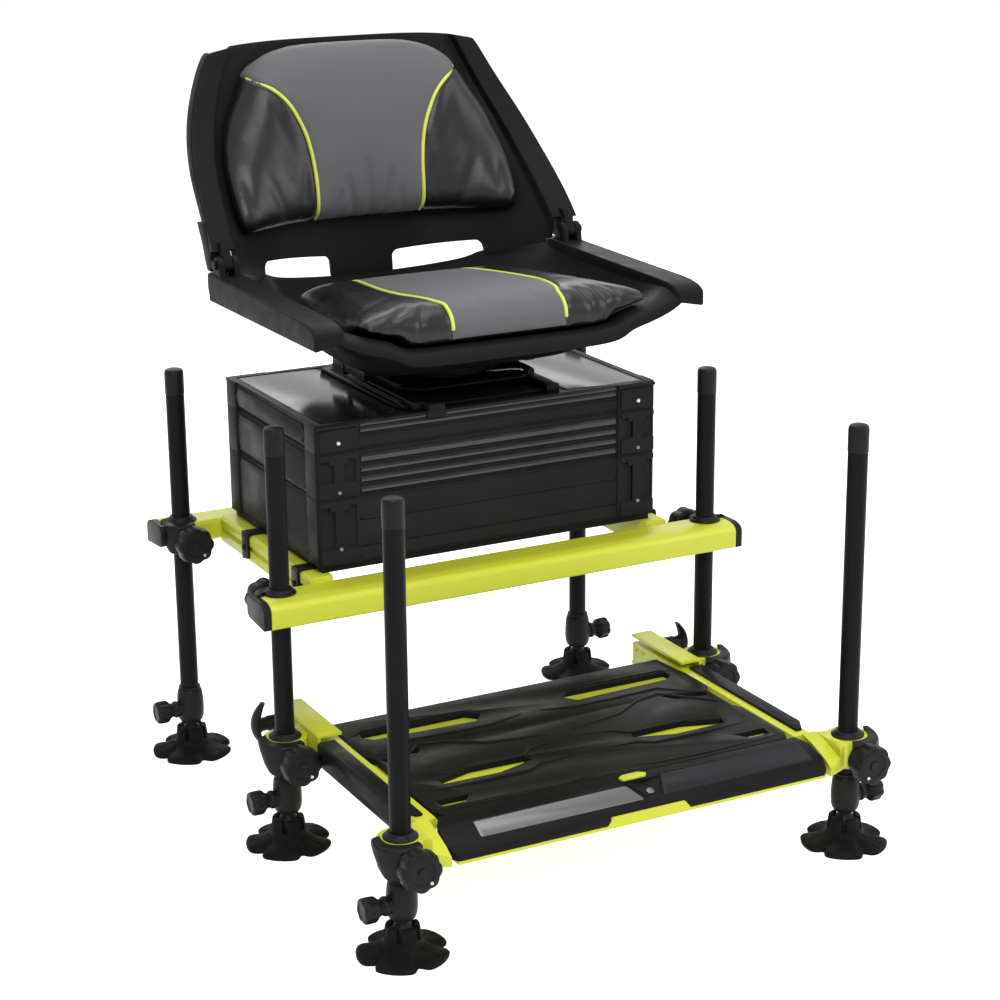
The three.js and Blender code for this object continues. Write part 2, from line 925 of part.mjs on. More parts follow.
function lid() {
  const low = lidUnderside;
  const high = lidTop;
  const ribShares = [
    [0, 0.1],
    [0.45, 0.58],
  ];
  const rim = lidRim;
  const recess = block(
    -boxHalfWidth + rim,
    -boxFront + rim,
    high - lidRecess,
    boxHalfWidth - rim,
    boxBack - rim,
    high + overrun,
  );
  const shell = cut(
    tierBody(low, high, ribShares),
    tierCavity(low - overrun, high - tierWall),
    recess,
  );
  return join(shell, ...lidKnuckles(false));
}

// Seat base on the lid, with the lower half of the bearing
function seatBase() {
  const low = baseUnderside;
  const corner = basePlateThickness * 4;
  const x = basePlateHalfWidth;
  const plate = pushed(
    "z",
    [
      [-x + corner, -basePlateFront],
      [x - corner, -basePlateFront],
      [x, -basePlateFront + corner],
      [x, basePlateBack],
      [-x, basePlateBack],
      [-x, -basePlateFront + corner],
    ],
    low,
    low + basePlateThickness,
  );
  const ribHalf = basePlateThickness * 1.4;
  const ribs = [-1, 1].map((side) => {
    const middle = side * (x - ribHalf * 2);
    const room = low + basePlateThickness;
    return block(
      middle - ribHalf,
      -basePlateFront + corner,
      room - fit,
      middle + ribHalf,
      basePlateBack - corner,
      room + basePlateThickness,
    );
  });
  const bearing = turned(
    [
      [0, low + basePlateThickness / 2],
      [bearingRadius, low + basePlateThickness / 2],
      [bearingRadius, bearingTop - bearingHeight / 3],
      [bearingRadius - bearingHeight / 3, bearingTop],
      [0, bearingTop],
    ],
    28,
  );
  return join(plate, ...ribs, bearing);
}

// Seat pan: a dished shell with a rolled front edge, raised rear edge and flat arms
const panStationShares = [
  [0, 0.78],
  [0.012, 0.96],
  [0.05, 1],
  [0.08, 0.97],
  [0.14, 0.6],
  [0.21, 0.2],
  [0.29, 0.02],
  [0.62, 0],
  [0.76, 0.12],
  [0.9, 0.5],
  [1, 1],
];
const halvings = 20;
const panAcrossShares = [0, 0.45, 1];
const panWallShares = [
  [0.1, 0.3],
  [0.45, 0.44],
  [0.85, 0.7],
];

function armTopAt(y) {
  const slope = (armHingeTop - armFrontTop) / (hingeY + panFront);
  return armFrontTop + slope * (Math.min(y, hingeY) + panFront);
}

function panFloorAt(share) {
  const height = readTable(panStationShares, share);
  const edge = share < panStationShares[7][0] ? panLip : panRim;
  return panFloor + height * (edge - panFloor);
}

// Half of the pan's section, as (x, z) points, from its middle to its outer hem
function panHalfSection(share) {
  const floor = panFloorAt(share);
  const y = -panFront + share * (panFront + panBack - panBackSweep);
  const arm = armTopAt(y);
  const wall = armInner - panFloorHalf;
  const bow = panRimBow * share ** 4;
  return [
    ...panAcrossShares.map((across) => [across * panFloorHalf, floor + bow * across ** 2]),
    ...panWallShares.map(([across, up]) => [
      panFloorHalf + across * wall,
      floor + bow + up * (arm - floor - bow),
    ]),
    [armInner, arm - seatThickness / 2],
    [armInner + seatThickness, arm],
    [armOuter - seatThickness / 2, arm],
    [armOuter, arm - seatThickness / 2],
    [armOuter, Math.min(armUnderside, arm - seatThickness)],
  ];
}

// Where a point of the pan lies from front to rear
function panY(share, x) {
  const sweep = panBackSweep * share ** 2 * (Math.abs(x) / armOuter) ** 2;
  return -panFront + share * (panFront + panBack) - sweep;
}

function panSkin() {
  const shares = panStationShares.map(([share]) => share);
  const sections = shares.map((share) => {
    const half = panHalfSection(share);
    const left = half.slice(1).map(([x, z]) => [-x, z]);
    const line = [...left.reverse(), ...half];
    const thick = share < panStationShares[2][0] ? seatThickness * 2 : seatThickness;
    return { share, line, under: offsetLine(line, thick) };
  });
  const place = (share, points, line) =>
    points.map(([x, z], i) => [x, panY(share, line[i][0]), z]);
  return skin(
    sections.map(({ share, line }) => place(share, line, line)),
    sections.map(({ share, line, under }) => place(share, under, line)),
  );
}

// Height of the pan's top face at a place, found by halving the range from front to rear
function panTopAt(x, y) {
  let near = 0;
  let far = 1;
  for (let i = 0; i < halvings; i += 1) {
    const share = (near + far) / 2;
    if (panY(share, x) < y) near = share;
    else far = share;
  }
  return readTable(panHalfSection(near), Math.abs(x));
}

// Hinge ears on one arm, with the pin through them
function hingeEars() {
  const ear = (x0, x1) =>
    pushed(
      "x",
      [
        [hingeY - earRadius * 1.3, armTopAt(hingeY) - seatThickness],
        [hingeY + earRadius * 1.3, armTopAt(hingeY) - seatThickness],
        ...arc(earRadius, 0, Math.PI, 6, hingeY, hingeZ),
      ],
      x0,
      x1,
    );
  const inner = -armInner - seatThickness / 2;
  const outer = -armOuter + seatThickness / 2;
  const pin = pushed("x", circle(hingePinRadius, 10, hingeY, hingeZ), outer, inner);
  return [ear(inner - earThickness, inner), ear(outer, outer + earThickness), pin];
}

// Upright face that closes the front of one arm
function armNose() {
  const inset = seatThickness / 4;
  return block(
    -armOuter + inset,
    -panFront + inset,
    armUnderside + inset,
    -armInner - inset,
    -panFront + seatThickness * 2,
    armTopAt(-panFront) - inset,
  );
}

function seatPan() {
  const ears = hingeEars();
  const nose = armNose();
  const riser = pushed(
    "z",
    circle(riserRadius, 12),
    swivelUnderside + swivelPlateThickness + fit,
    panFloor - seatThickness / 2,
  );
  return join(panSkin(), ...ears, ...ears.map(mirrored), nose, mirrored(nose), riser);
}

// Turning plate between the bearing and the pan's riser, with its sides turned up
function swivelPlate() {
  const low = swivelUnderside;
  const half = swivelPlateHalf;
  const corner = swivelPlateHalf / 4;
  const outline = [
    [-half + corner, -half],
    [half - corner, -half],
    [half, -half + corner],
    [half, half - corner],
    [half - corner, half],
    [-half + corner, half],
    [-half, half - corner],
    [-half, -half + corner],
  ];
  const plate = pushed("z", outline, low, low + swivelPlateThickness);
  const room = block(
    -half + swivelPlateThickness,
    -half - overrun,
    low + swivelPlateThickness,
    half - swivelPlateThickness,
    half + overrun,
    low + swivelRim + overrun,
  );
  const tall = pushed("z", outline, low, low + swivelRim);
  return join(plate, cut(tall, room));
}

// Seat back: a shell with proud side pillars, swept forward to the hinges
const backWidthShares = [
  [0, 1],
  [0.14, 0.955],
  [0.3, 0.862],
  [0.43, 0.79],
  [0.61, 0.645],
  [0.77, 0.43],
  [0.9, 0.22],
  [0.96, 0.11],
  [1, 0.01],
];
const backSweepShares = [
  [0, 1.12],
  [0.14, 0.98],
  [0.3, 0.755],
  [0.43, 0.54],
  [0.61, 0.32],
  [0.77, 0.16],
  [0.9, 0.09],
  [0.96, 0.08],
  [1, 0.08],
];
const backAcrossShares = [0, 0.28, 0.52, 0.72, 0.88];

function backHalfWidth(up) {
  const width = readTable(backWidthShares, up);
  return backTopHalf + width * (backBottomHalf - backTopHalf);
}

function backMiddleY(up) {
  return backMiddleBottomY + up * (backMiddleTopY - backMiddleBottomY);
}

// Half of the back's section at a height, as (x, y) points, from its middle outwards
function backHalfSection(up) {
  const half = backHalfWidth(up);
  const middle = backMiddleY(up);
  const pillarFace = middle - backSweep * readTable(backSweepShares, up);
  const inner = half - pillarWidth;
  const recess = pillarFace + pillarStep;
  const panel = backAcrossShares.map((across) => [
    across * inner,
    middle - (middle - recess) * across ** 2.5,
  ]);
  return [
    ...panel,
    [inner, recess],
    [inner + seatThickness / 2, pillarFace],
    [half - seatThickness / 2, pillarFace],
    [half, pillarFace + seatThickness / 2],
    [half, pillarFace + pillarSide],
  ];
}

// Height of a point of the back: its lower edge rises towards the pillars, and its top
// edge falls towards the rounded corners
function backHeight(up, x) {
  const across = Math.abs(x) / backBottomHalf;
  const low = backBottom + (windowTop - backBottom) * 2 * across ** 3;
  const topAcross = Math.min(1, Math.abs(x) / backTopHalf);
  const high = backTop - backTopBow * topAcross ** 4;
  return low + up * (high - low);
}

// Where the back's front face lies at a place on the panel between the pillars
function backFaceAt(x, z) {
  const low = backHeight(0, x);
  const high = backHeight(1, x);
  return readTable(backHalfSection((z - low) / (high - low)), Math.abs(x));
}

function backSkin() {
  const sections = backSweepShares.map(([up]) => {
    const half = backHalfSection(up);
    const left = half.slice(1).map(([x, y]) => [-x, y]);
    const line = [...left.reverse(), ...half];
    return { up, line, rear: offsetLine(line, -seatThickness) };
  });
  const place = (up, points, line) =>
    points.map(([x, y], i) => [x, y, backHeight(up, line[i][0])]);
  return skin(
    sections.map(({ up, line }) => place(up, line, line)),
    sections.map(({ up, line, rear }) => place(up, rear, line)),
  );
}

// Window between the back's lower edge and the pan, and the room beside it for the pan's
// rear corner, both open below
function backWindow() {
  const chamfer = windowRise / 2;
  const low = backBottom - overrun;
  const side = -armInner - seatThickness;
  const outline = [
    [low, -windowNear],
    [windowTop - chamfer, -windowNear],
    [windowTop, -windowNear - chamfer],
    [windowTop + windowRise, -windowFar + chamfer],
    [windowTop + windowRise - chamfer, -windowFar],
    [panRim + panRimBow + padPlay * 2, -windowFar - chamfer],
    [armHingeTop + fit, side],
    [low, side],
  ];
  return pushed("y", outline, hingeY, backMiddleTopY);
}

// The tongue that the pillar puts between the hinge ears, and the room round the ears
function hingeTongue() {
  const inner = -armInner - seatThickness / 2 - earThickness - hingePlay;
  const outer = -armOuter + seatThickness / 2 + earThickness + hingePlay;
  const pillarFoot = hingeZ + earRadius + earRoom;
  const up = (pillarFoot - backHeight(0, armInner)) / (backHeight(1, armInner) - backHeight(0, armInner));
  const face = backMiddleY(up) - backSweep * readTable(backSweepShares, up);
  const outline = [
    ...arc(earRadius, Math.PI, 2 * Math.PI, 6, hingeY, hingeZ),
    [Math.max(hingeY + earRadius * 1.6, face), pillarFoot + earRadius],
    [hingeY + earRadius / 2, pillarFoot + earRadius],
  ];
  const hole = pushed(
    "x",
    circle(hingePinRadius + fit, 10, hingeY, hingeZ),
    outer - overrun,
    inner + overrun,
  );
  return cut(pushed("x", outline, outer, inner), hole);
}

function hingeRoom() {
  const outer = -armOuter - hingePlay;
  return block(
    outer,
    hingeY - earRadius * 3,
    backBottom - overrun,
    -armInner + pillarWidth / 4,
    hingeY + earRadius * 3,
    hingeZ + earRadius + earRoom,
  );
}

function backShell() {
  const window = backWindow();
  const room = hingeRoom();
  const tongue = hingeTongue();
  const body = cut(backSkin(), window, mirrored(window), room, mirrored(room));
  return join(body, tongue, mirrored(tongue));
}

// Cushions: crowned in the middle, drawn in at the sides, with two piped seams

// How far a seam pulls the cover in at a place across the cushion
function seamPull(x) {
  const offset = Math.abs(Math.abs(x) - seamX) / (seamDepth * 2);
  return seamDepth * Math.max(0, 1 - offset);
}

const cushionAcrossShares = [0, 0.2, 0.345, 0.4, 0.455, 0.65, 0.84, 0.95, 1];

function acrossBoth() {
  const left = cushionAcrossShares.slice(1).map((share) => -share);
  return [...left.reverse(), ...cushionAcrossShares];
}

const seatCushionLongShares = [0, 0.02, 0.08, 0.2, 0.4, 0.6, 0.8, 0.95, 1];
const crownShare = 0.5; // roundness of the edges

// Fullness of a cushion at a place from 0 to 1, which falls to nothing at both ends
function fullness(place) {
  return Math.max(0, 1 - Math.abs(2 * place - 1) ** 6) ** crownShare;
}

function seatCushion() {
  const rows = seatCushionLongShares.map((along) => {
    const y0 = -seatCushionFront + along * (seatCushionFront + seatCushionBack);
    const half = seatCushionHalf + along * (seatCushionBackHalf - seatCushionHalf);
    const crest = seatCushionTop + along * (seatCushionBackTop - seatCushionTop);
    return acrossBoth().map((across) => {
      const x = across * half;
      const full = fullness((1 + across) / 2) * fullness(0.02 + 0.96 * along);
      const drawn = half * 0.06 * (1 - fullness(along));
      const xDrawn = x - Math.sign(x) * drawn * Math.abs(across);
      const low = panTopAt(Math.abs(xDrawn) + cushionStandOff, y0) + padPlay;
      const middle = Math.max(panLip + padPlay, low) + seamDepth / 2;
      const top = middle + (crest - middle) * full - seamPull(x) * full;
      return { x: xDrawn, y: y0, top, low };
    });
  });
  const upper = rows.map((row) => row.map(({ x, y, top }) => [x, y, top]));
  const lower = rows.map((row) => row.map(({ x, y, low }) => [x, y, low]));
  return skin(upper, lower);
}

const backCushionUpShares = [0, 0.03, 0.12, 0.3, 0.5, 0.7, 0.86, 0.96, 1];

function backCushion() {
  const tall = backCushionTop - backCushionBottom;
  const widthShares = [
    [0, 0.78],
    [0.12, 0.95],
    [0.35, 1],
    [0.6, 0.8],
    [0.86, 0.28],
    [1, 0],
  ];
  const rows = backCushionUpShares.map((up) => {
    const wide = readTable(widthShares, up);
    const half = backCushionTopHalf + wide * (backCushionWideHalf - backCushionTopHalf);
    return acrossBoth().map((across) => {
      const x = across * half;
      const arch = backCushionArch * (1 - across ** 4);
      const z = backCushionBottom + up * tall + up ** 2 * arch;
      const full = fullness((1 + across) / 2) * fullness(0.02 + 0.96 * up);
      const rear = backFaceAt(x, z) - padPlay;
      const front = rear - fit * 4 - (backCushionThickness - seamPull(x)) * full;
      return { x, z, rear, front };
    });
  });
  const upper = rows.map((row) => row.map(({ x, z, front }) => [x, front, z]));
  const lower = rows.map((row) => row.map(({ x, z, rear }) => [x, rear, z]));
  return skin(upper, lower);
}

// Slide arm: an open channel beside the front leg, and the ring that grips the leg
function slideArm() {
  const legX = -legSpacingX / 2;
  const low = bracketUnderside;
  const outer = -armOuterX;
  const web = outer + armWall;
  const inner = -slideInner;
  const lipTop = bracketUnderside + armWall + fit;
  const channel = pushed(
    "y",
    [
      [low, outer],
      [armTop - armWall / 2, outer],
      [armTop, outer + armWall / 2],
      [armTop, inner],
      [armTop - armWall, inner],
      [armTop - armWall, web],
      [lipTop, web],
      [lipTop, inner],
      [low, inner],
    ],
    -armFrontY,
    -armBackY,
  );
  const ring = pushed("z", circle(bracketRing, 24, legX, frontLegY), low, bracketTop);
  const slideRoom = block(
    web,
    frontLegY - bracketRing,
    low - overrun,
    0,
    frontLegY + bracketRing,
    bracketTop + overrun,
  );
  const room = clampRoom(low, bracketTop).map((g) => moved(g, legX, frontLegY, 0));
  const screwHole = pushed(
    "x",
    circle(screwRadius + fit * 2, 8, -wingY, wingHeight),
    outer - overrun,
    web + overrun,
  );
  return cut(join(channel, cut(ring, slideRoom)), ...room, screwHole);
}

// Wing knob that locks the slide, with its screw through the arm's web
function wingKnob() {
  const outer = -wingReach;
  const steps = 9;
  const bow = wingSpan / 2;
  const arc = (reach, span, from, to) =>
    Array.from({ length: steps }, (_, i) => {
      const place = from + ((to - from) * i) / (steps - 1);
      return [wingHeight + place * span, reach + bow * place * place];
    });
  const outline = [
    ...arc(outer, wingSpan, -1, 1),
    ...arc(outer + wingThickness, wingSpan * 0.92, 1, -1),
  ];
  const wing = pushed("y", outline, -wingY - wingHalfDepth, -wingY + wingHalfDepth);
  const stem = pushed(
    "x",
    circle(wingStemRadius, 12, -wingY, wingHeight),
    outer + wingThickness / 2,
    -armOuterX - fit,
  );
  const screw = pushed(
    "x",
    circle(screwRadius, 8, -wingY, wingHeight),
    -armOuterX - fit * 2,
    -slideOuter - fit,
  );
  return join(wing, stem, screw);
}

// The tab that stands up from the flange into the front of the bar. It can be grown all
// round by a gap, and forwards by more, to cut its room out of the bar.
function tabShape(gap, forward) {
  const low = barUnderside - fit - flangeThickness / 2 - gap;
  const high = barUnderside + tabHeight + gap;
  const half = tabHalfWidth + gap;
  return pushed(
    "y",
    [
      [low, -half],
      [low, half],
      [high, half - tabHeight],
      [high, -half + tabHeight],
    ],
    -barFrontY - forward,
    -barFrontY + tabThickness + gap,
  );
}

// Footplate frame: the slides, the plate under the deck and the flange under the bar
function footplatePan() {
  const slide = pushed(
    "y",
    [
      [bracketUnderside + armWall + fit * 2, -slideOuter],
      [slideTop, -slideOuter],
      [slideTop, -slideInner],
      [bracketUnderside + armWall + fit * 2, -slideInner],
    ],
    -slideFrontY,
    -slideBackY,
  );
  const holeGap = slidePinRadius * 7;
  const holes = [0, 1].map((i) =>
    pushed(
      "x",
      circle(slidePinRadius, 8, -slideBackY - slidePinRadius * 4 - i * holeGap, slidePinHeight),
      -slideInner - armWall,
      -slideInner + overrun,
    ),
  );
  const drilled = cut(slide, ...holes);
  const plateTop = deckTop - deckThickness - fit;
  const plate = block(
    -slideInner - fit,
    -panFrontY + fit,
    plateTop - panPlateThickness,
    slideInner + fit,
    -deckBackY - armWall,
    plateTop,
  );
  const flangeTop = barUnderside - fit;
  const flange = block(
    -slideInner - armWall,
    -barFrontY,
    flangeTop - flangeThickness,
    slideInner + armWall,
    -panFrontY + armWall * 4,
    flangeTop,
  );
  const riser = block(
    -slideInner - armWall,
    -panFrontY + fit,
    flangeTop - flangeThickness,
    slideInner + armWall,
    -panFrontY + armWall * 2,
    plateTop,
  );
  return join(drilled, mirrored(drilled), plate, riser, flange, tabShape(0, 0));
}

// Deck outline and slots, as shares of the half width and of the depth from the rear
const deckEdgeShares = [
  [0.97, 0],
  [0.985, 0.16],
  [1, 0.2],
  [1, 0.37],
  [0.965, 0.41],
  [0.965, 0.6],
  [0.99, 0.64],
  [0.99, 0.95],
  [0.96, 1],
];
const deckSlotShares = [
  [
    [0.9, 0.14],
    [0.91, 0.19],
    [0.86, 0.225],
    [0.3, 0.245],
    [0.24, 0.19],
    [0.3, 0.14],
  ],
  [
    [0.95, 0.42],
    [0.93, 0.46],
    [0.75, 0.43],
    [0.7, 0.38],
    [0.76, 0.375],
  ],
  [
    [0.81, 0.7],
    [0.8, 0.745],
    [0.5, 0.75],
    [0.29, 0.7],
    [0.31, 0.655],
    [0.6, 0.65],
  ],
  [
    [0.93, 0.87],
    [0.92, 0.925],
    [0.8, 0.925],
    [0.75, 0.87],
  ],
];

function deckPoint([across, along], side) {
  return [
    side * across * deckHalfWidth,
    -deckBackY - along * (deckFrontY - deckBackY),
  ];
}

function footplateDeck() {
  const left = deckEdgeShares.map((share) => deckPoint(share, -1));
  const right = deckEdgeShares.map((share) => deckPoint(share, 1)).reverse();
  const slots = [-1, 1].flatMap((side) =>
    deckSlotShares.map((slot) => {
      const outline = slot.map((share) => deckPoint(share, side));
      return pushed("z", outline, deckTop - deckThickness - overrun, deckTop + overrun);
    }),
  );
  const plate = pushed("z", [...left, ...right], deckTop - deckThickness, deckTop);
  return cut(plate, ...slots);
}

// Front bar: a faceted bar with angled ends and a notch in the middle
const barSectionShares = [
  [0, 0],
  [0, 0.2],
  [0.24, 0.5],
  [0.68, 0.86],
  [0.97, 1],
  [1, 0.95],
  [1, 0],
];
const barEndShares = [
  [0.95, 1],
  [0.985, 0.75],
  [1, 0.3],
  [0.98, 0.05],
  [0.965, 0],
];

function frontBar() {
  const back = -deckFrontY - fit;
  const section = spread(barSectionShares, -barFrontY, back, barUnderside, deckTop);
  const bar = pushed("x", section, -barHalfLength, barHalfLength);
  const end = (side) =>
    barEndShares.map(([across, along]) => [
      side * across * barHalfLength,
      -barFrontY + along * (barFrontY + back),
    ]);
  const plan = pushed("z", [...end(-1), ...end(1).reverse()], barUnderside, deckTop);
  const riserRoom = block(
    -slideOuter,
    -panFrontY - fit,
    barUnderside - overrun,
    slideOuter,
    back + overrun,
    deckTop - deckThickness,
  );
  const notchBack = -panFrontY + overrun / 2;
  const notch = pushed(
    "z",
    [
      [barNotchX - barNotchHalf, notchBack],
      [barNotchX - barNotchHalf / 3, notchBack - barNotchDepth],
      [barNotchX + barNotchHalf / 3, notchBack - barNotchDepth],
      [barNotchX + barNotchHalf, notchBack],
    ],
    (barUnderside + deckTop) / 2 - overrun,
    deckTop + overrun,
  );
  return cut(common(bar, plan), riserRoom, notch, tabShape(fit, overrun));
}

// Black cover along the outside of each slide
function sideChannel() {
  const top = slideTop + fit + channelWall;
  const low = barUnderside;
  const lip = -slideOuter + (slideOuter - slideInner) * 0.55;
  const section = [
    [low, -channelOuter + channelWall / 2],
    [low + channelWall, -channelOuter],
    [top - channelWall, -channelOuter],
    [top, -channelOuter + channelWall],
    [top, lip],
    [slideTop + fit, lip],
    [slideTop + fit, -slideOuter - fit],
    [low, -slideOuter - fit],
  ];
  const cover = pushed("y", section, -channelFrontY, -channelBackY);
  const slant = (channelOuter - slideInner) / 2;
  const nose = pushed(
    "z",
    [
      [-channelOuter - overrun, -channelFrontY - overrun],
      [-channelOuter + slant, -channelFrontY - overrun],
      [-channelOuter - overrun, -channelFrontY + slant * 2],
    ],
    low - overrun,
    top + overrun,
  );
  return cut(cover, nose);
}

// Lime bracket that ties the front bar and a slide to the footplate leg
function cornerBracket() {
  const legX = -legSpacingX / 2;
  const y = footplateLegY;
  const barEnd = -barHalfLength - fit * 2;
  const slideEnd = -slideFrontY - fit;
  const ring = pushed("z", circle(bracketRing, 24, legX, y), bracketUnderside, bracketTop);
  const wing = pushed(
    "z",
    [
      [legX + bracketRing * 0.6, y - bracketRing * 0.7],
      [barEnd, y - bracketRing * 1.2],
      [barEnd, slideEnd],
      [-slideOuter - fit, slideEnd],
      [legX + bracketRing / 2, y + bracketRing * 0.8],
    ],
    bracketUnderside,
    bracketTop,
  );
  const room = clampRoom(bracketUnderside, bracketTop).map((g) => moved(g, legX, y, 0));
  return cut(join(ring, wing), ...room);
}

// Assembly

const seatBox = new THREE.Group();

function add(parent, name, geometry, finish) {
  const mesh = new THREE.Mesh(geometry, new THREE.MeshStandardMaterial(finish));
  mesh.name = name;
  parent.add(mesh);
  return mesh;
}

function groupAt(x, y, halfTurn = false) {
  const group = new THREE.Group();
  group.position.set(x, y, 0);
  if (halfTurn) group.rotation.z = Math.PI;
  seatBox.add(group);
  return group;
}

const legPlaces = [
  ["rear_left", -1, rearLegY],
  ["rear_right", 1, rearLegY],
  ["front_left", -1, frontLegY],
  ["front_right", 1, frontLegY],
  ["footplate_left", -1, footplateLegY],
  ["footplate_right", 1, footplateLegY],
];
const legShape = legWithShoe();
const footShape = mudFoot();
const shoeKnobShape = shoeKnob();
for (const [place, side, y] of legPlaces) {
  const group = groupAt((side * legSpacingX) / 2, y, side > 0);
  add(group, `leg_${place}`, legShape, satinBlack);
  add(group, `foot_${place}`, footShape, black);
  add(group, `foot_knob_${place}`, shoeKnobShape, black);
}

const railShape = crossRail();
add(groupAt(0, frontLegY), "front_rail", railShape, lime);
add(groupAt(0, rearLegY, true), "rear_rail", railShape, lime);
const sideRailShape = sideRail();
add(seatBox, "side_rail_left", sideRailShape, lime);
add(seatBox, "side_rail_right", mirrored(sideRailShape), lime);

const frameClampShape = frameClamp();
const frameClampOther = mirrored(frameClampShape);
const frameKnobShape = clampKnob(railTop);
const framePlaces = [
  ["rear_left", -1, rearLegY, false, frameClampShape],
  ["rear_right", 1, rearLegY, false, frameClampOther],
  ["front_left", -1, frontLegY, true, frameClampOther],
  ["front_right", 1, frontLegY, true, frameClampShape],
];
for (const [place, side, y, halfTurn, shape] of framePlaces) {
  const group = groupAt((side * legSpacingX) / 2, y, halfTurn);
  add(group, `frame_clamp_${place}`, shape, black);
  add(group, `frame_knob_${place}`, frameKnobShape, black);
}

const clampShape = clampBody(bracketUnderside, bracketTop, bracketRing);
const clampOther = mirrored(clampShape);
const clampKnobShape = clampKnob(bracketTop);
for (const [row, y] of [
  ["arm", frontLegY],
  ["corner", footplateLegY],
]) {
  for (const [hand, side, shape] of [
    ["left", -1, clampShape],
    ["right", 1, clampOther],
  ]) {
    const group = groupAt((side * legSpacingX) / 2, y);
    add(group, `${row}_clamp_${hand}`, shape, black);
    add(group, `${row}_knob_${hand}`, clampKnobShape, black);
  }
}

const pairs = [
  ["slide_arm", slideArm(), lime],
  ["slide_lock_knob", wingKnob(), black],
  ["corner_bracket", cornerBracket(), lime],
  ["side_channel", sideChannel(), black],
];
for (const [name, shape, finish] of pairs) {
  add(seatBox, `${name}_left`, shape, finish);
  add(seatBox, `${name}_right`, mirrored(shape), finish);
}

add(seatBox, "footplate_pan", footplatePan(), lime);
add(seatBox, "footplate_deck", footplateDeck(), black);
add(seatBox, "footplate_bar", frontBar(), black);

add(seatBox, "deep_tray", deepTray(), black);
add(seatBox, "shallow_tray", shallowTray(), black);
add(seatBox, "lid", lid(), black);

add(seatBox, "seat_base", seatBase(), satinBlack);
add(seatBox, "swivel_plate", swivelPlate(), satinBlack);
add(seatBox, "seat_pan", seatPan(), shell);
add(seatBox, "seat_back", backShell(), shell);
add(seatBox, "seat_cushion", seatCushion(), leatherette);
add(seatBox, "back_cushion", backCushion(), leatherette);

// The origin lies on the ground, at the middle of the whole outline.
const reach = new THREE.Box3().setFromObject(seatBox).getCenter(new THREE.Vector3());
seatBox.position.y = -reach.y;

export default seatBox;
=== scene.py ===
# Looks of the fishing seat box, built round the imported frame. Blender works in metres; sizes
# here are in millimetres from a point on the ground midway between the four main legs.
# +Z is up, the sitter faces -Y, and left means -X, as seen from the front.

import json
import math

import bmesh
import bpy
import numpy as np
from mathutils import Matrix, Vector
from mathutils.bvhtree import BVHTree


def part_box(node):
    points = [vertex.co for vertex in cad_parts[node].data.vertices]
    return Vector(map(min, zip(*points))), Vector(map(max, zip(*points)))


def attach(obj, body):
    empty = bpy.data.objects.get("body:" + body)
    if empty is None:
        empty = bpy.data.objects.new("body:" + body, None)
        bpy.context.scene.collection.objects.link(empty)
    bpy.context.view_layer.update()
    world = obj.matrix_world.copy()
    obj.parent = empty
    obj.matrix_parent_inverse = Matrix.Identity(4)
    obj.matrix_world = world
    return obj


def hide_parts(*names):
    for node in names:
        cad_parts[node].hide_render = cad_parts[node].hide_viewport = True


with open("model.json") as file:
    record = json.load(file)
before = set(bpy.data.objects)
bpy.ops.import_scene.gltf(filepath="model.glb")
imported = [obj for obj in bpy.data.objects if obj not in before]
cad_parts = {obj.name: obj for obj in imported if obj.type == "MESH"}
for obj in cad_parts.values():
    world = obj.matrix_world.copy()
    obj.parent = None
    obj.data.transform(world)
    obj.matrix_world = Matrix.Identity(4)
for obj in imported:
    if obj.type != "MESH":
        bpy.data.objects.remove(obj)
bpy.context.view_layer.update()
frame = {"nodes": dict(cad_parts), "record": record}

MM = 0.001
LEG_X = 311
FRONT_Y = -174
REAR_Y = 174
PLATE_Y = -512
LEG_RADIUS = 12.5
LEG_TOP = 552
HANDS = (("left", -1), ("right", 1))
LEG_ROWS = (("rear", REAR_Y), ("front", FRONT_Y), ("footplate", PLATE_Y))
LEG_PLACES = [(f"{row}_{hand}", side, y) for row, y in LEG_ROWS for hand, side in HANDS]
BODIES = frame["record"]["behaviour"]["bodies"]
BODY_OF = {node: body for body, nodes in BODIES.items() for node in nodes}

# The frame's origin lies under the middle of the outline, this far behind the legs' middle.
leg_middles = [sum(corner.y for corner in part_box(f"leg_{row}_left")) / 2 for row in ("front", "rear")]
SHIFT_Y = sum(leg_middles) / 2 / MM


# Forms: a form is a list of points and a list of faces

def loft(rings, caps=True):
    """Joins rings of matching points, with flat caps on the first and the last."""
    count = len(rings[0])
    points = [tuple(p) for ring in rings for p in ring]
    faces = []
    for row in range(len(rings) - 1):
        for i in range(count):
            a, b = row * count + i, row * count + (i + 1) % count
            faces.append((a, b, b + count, a + count))
    if caps:
        last = len(points) - count
        faces += [tuple(reversed(range(count))), tuple(range(last, last + count))]
    return points, faces


def arc(radius, start, end, steps, a=0.0, b=0.0):
    turns = [start + (end - start) * i / steps for i in range(steps + 1)]
    return [(a + radius * math.cos(t), b + radius * math.sin(t)) for t in turns]


def circle(radius, sides):
    return arc(radius, 0, 2 * math.pi, sides)[:-1]


def lathe(profile, sides=48):
    """Spins (radius, height) points round the Z axis."""
    rings = [[(x, y, height) for x, y in circle(radius, sides)] for radius, height in profile]
    return loft(rings, caps=False)


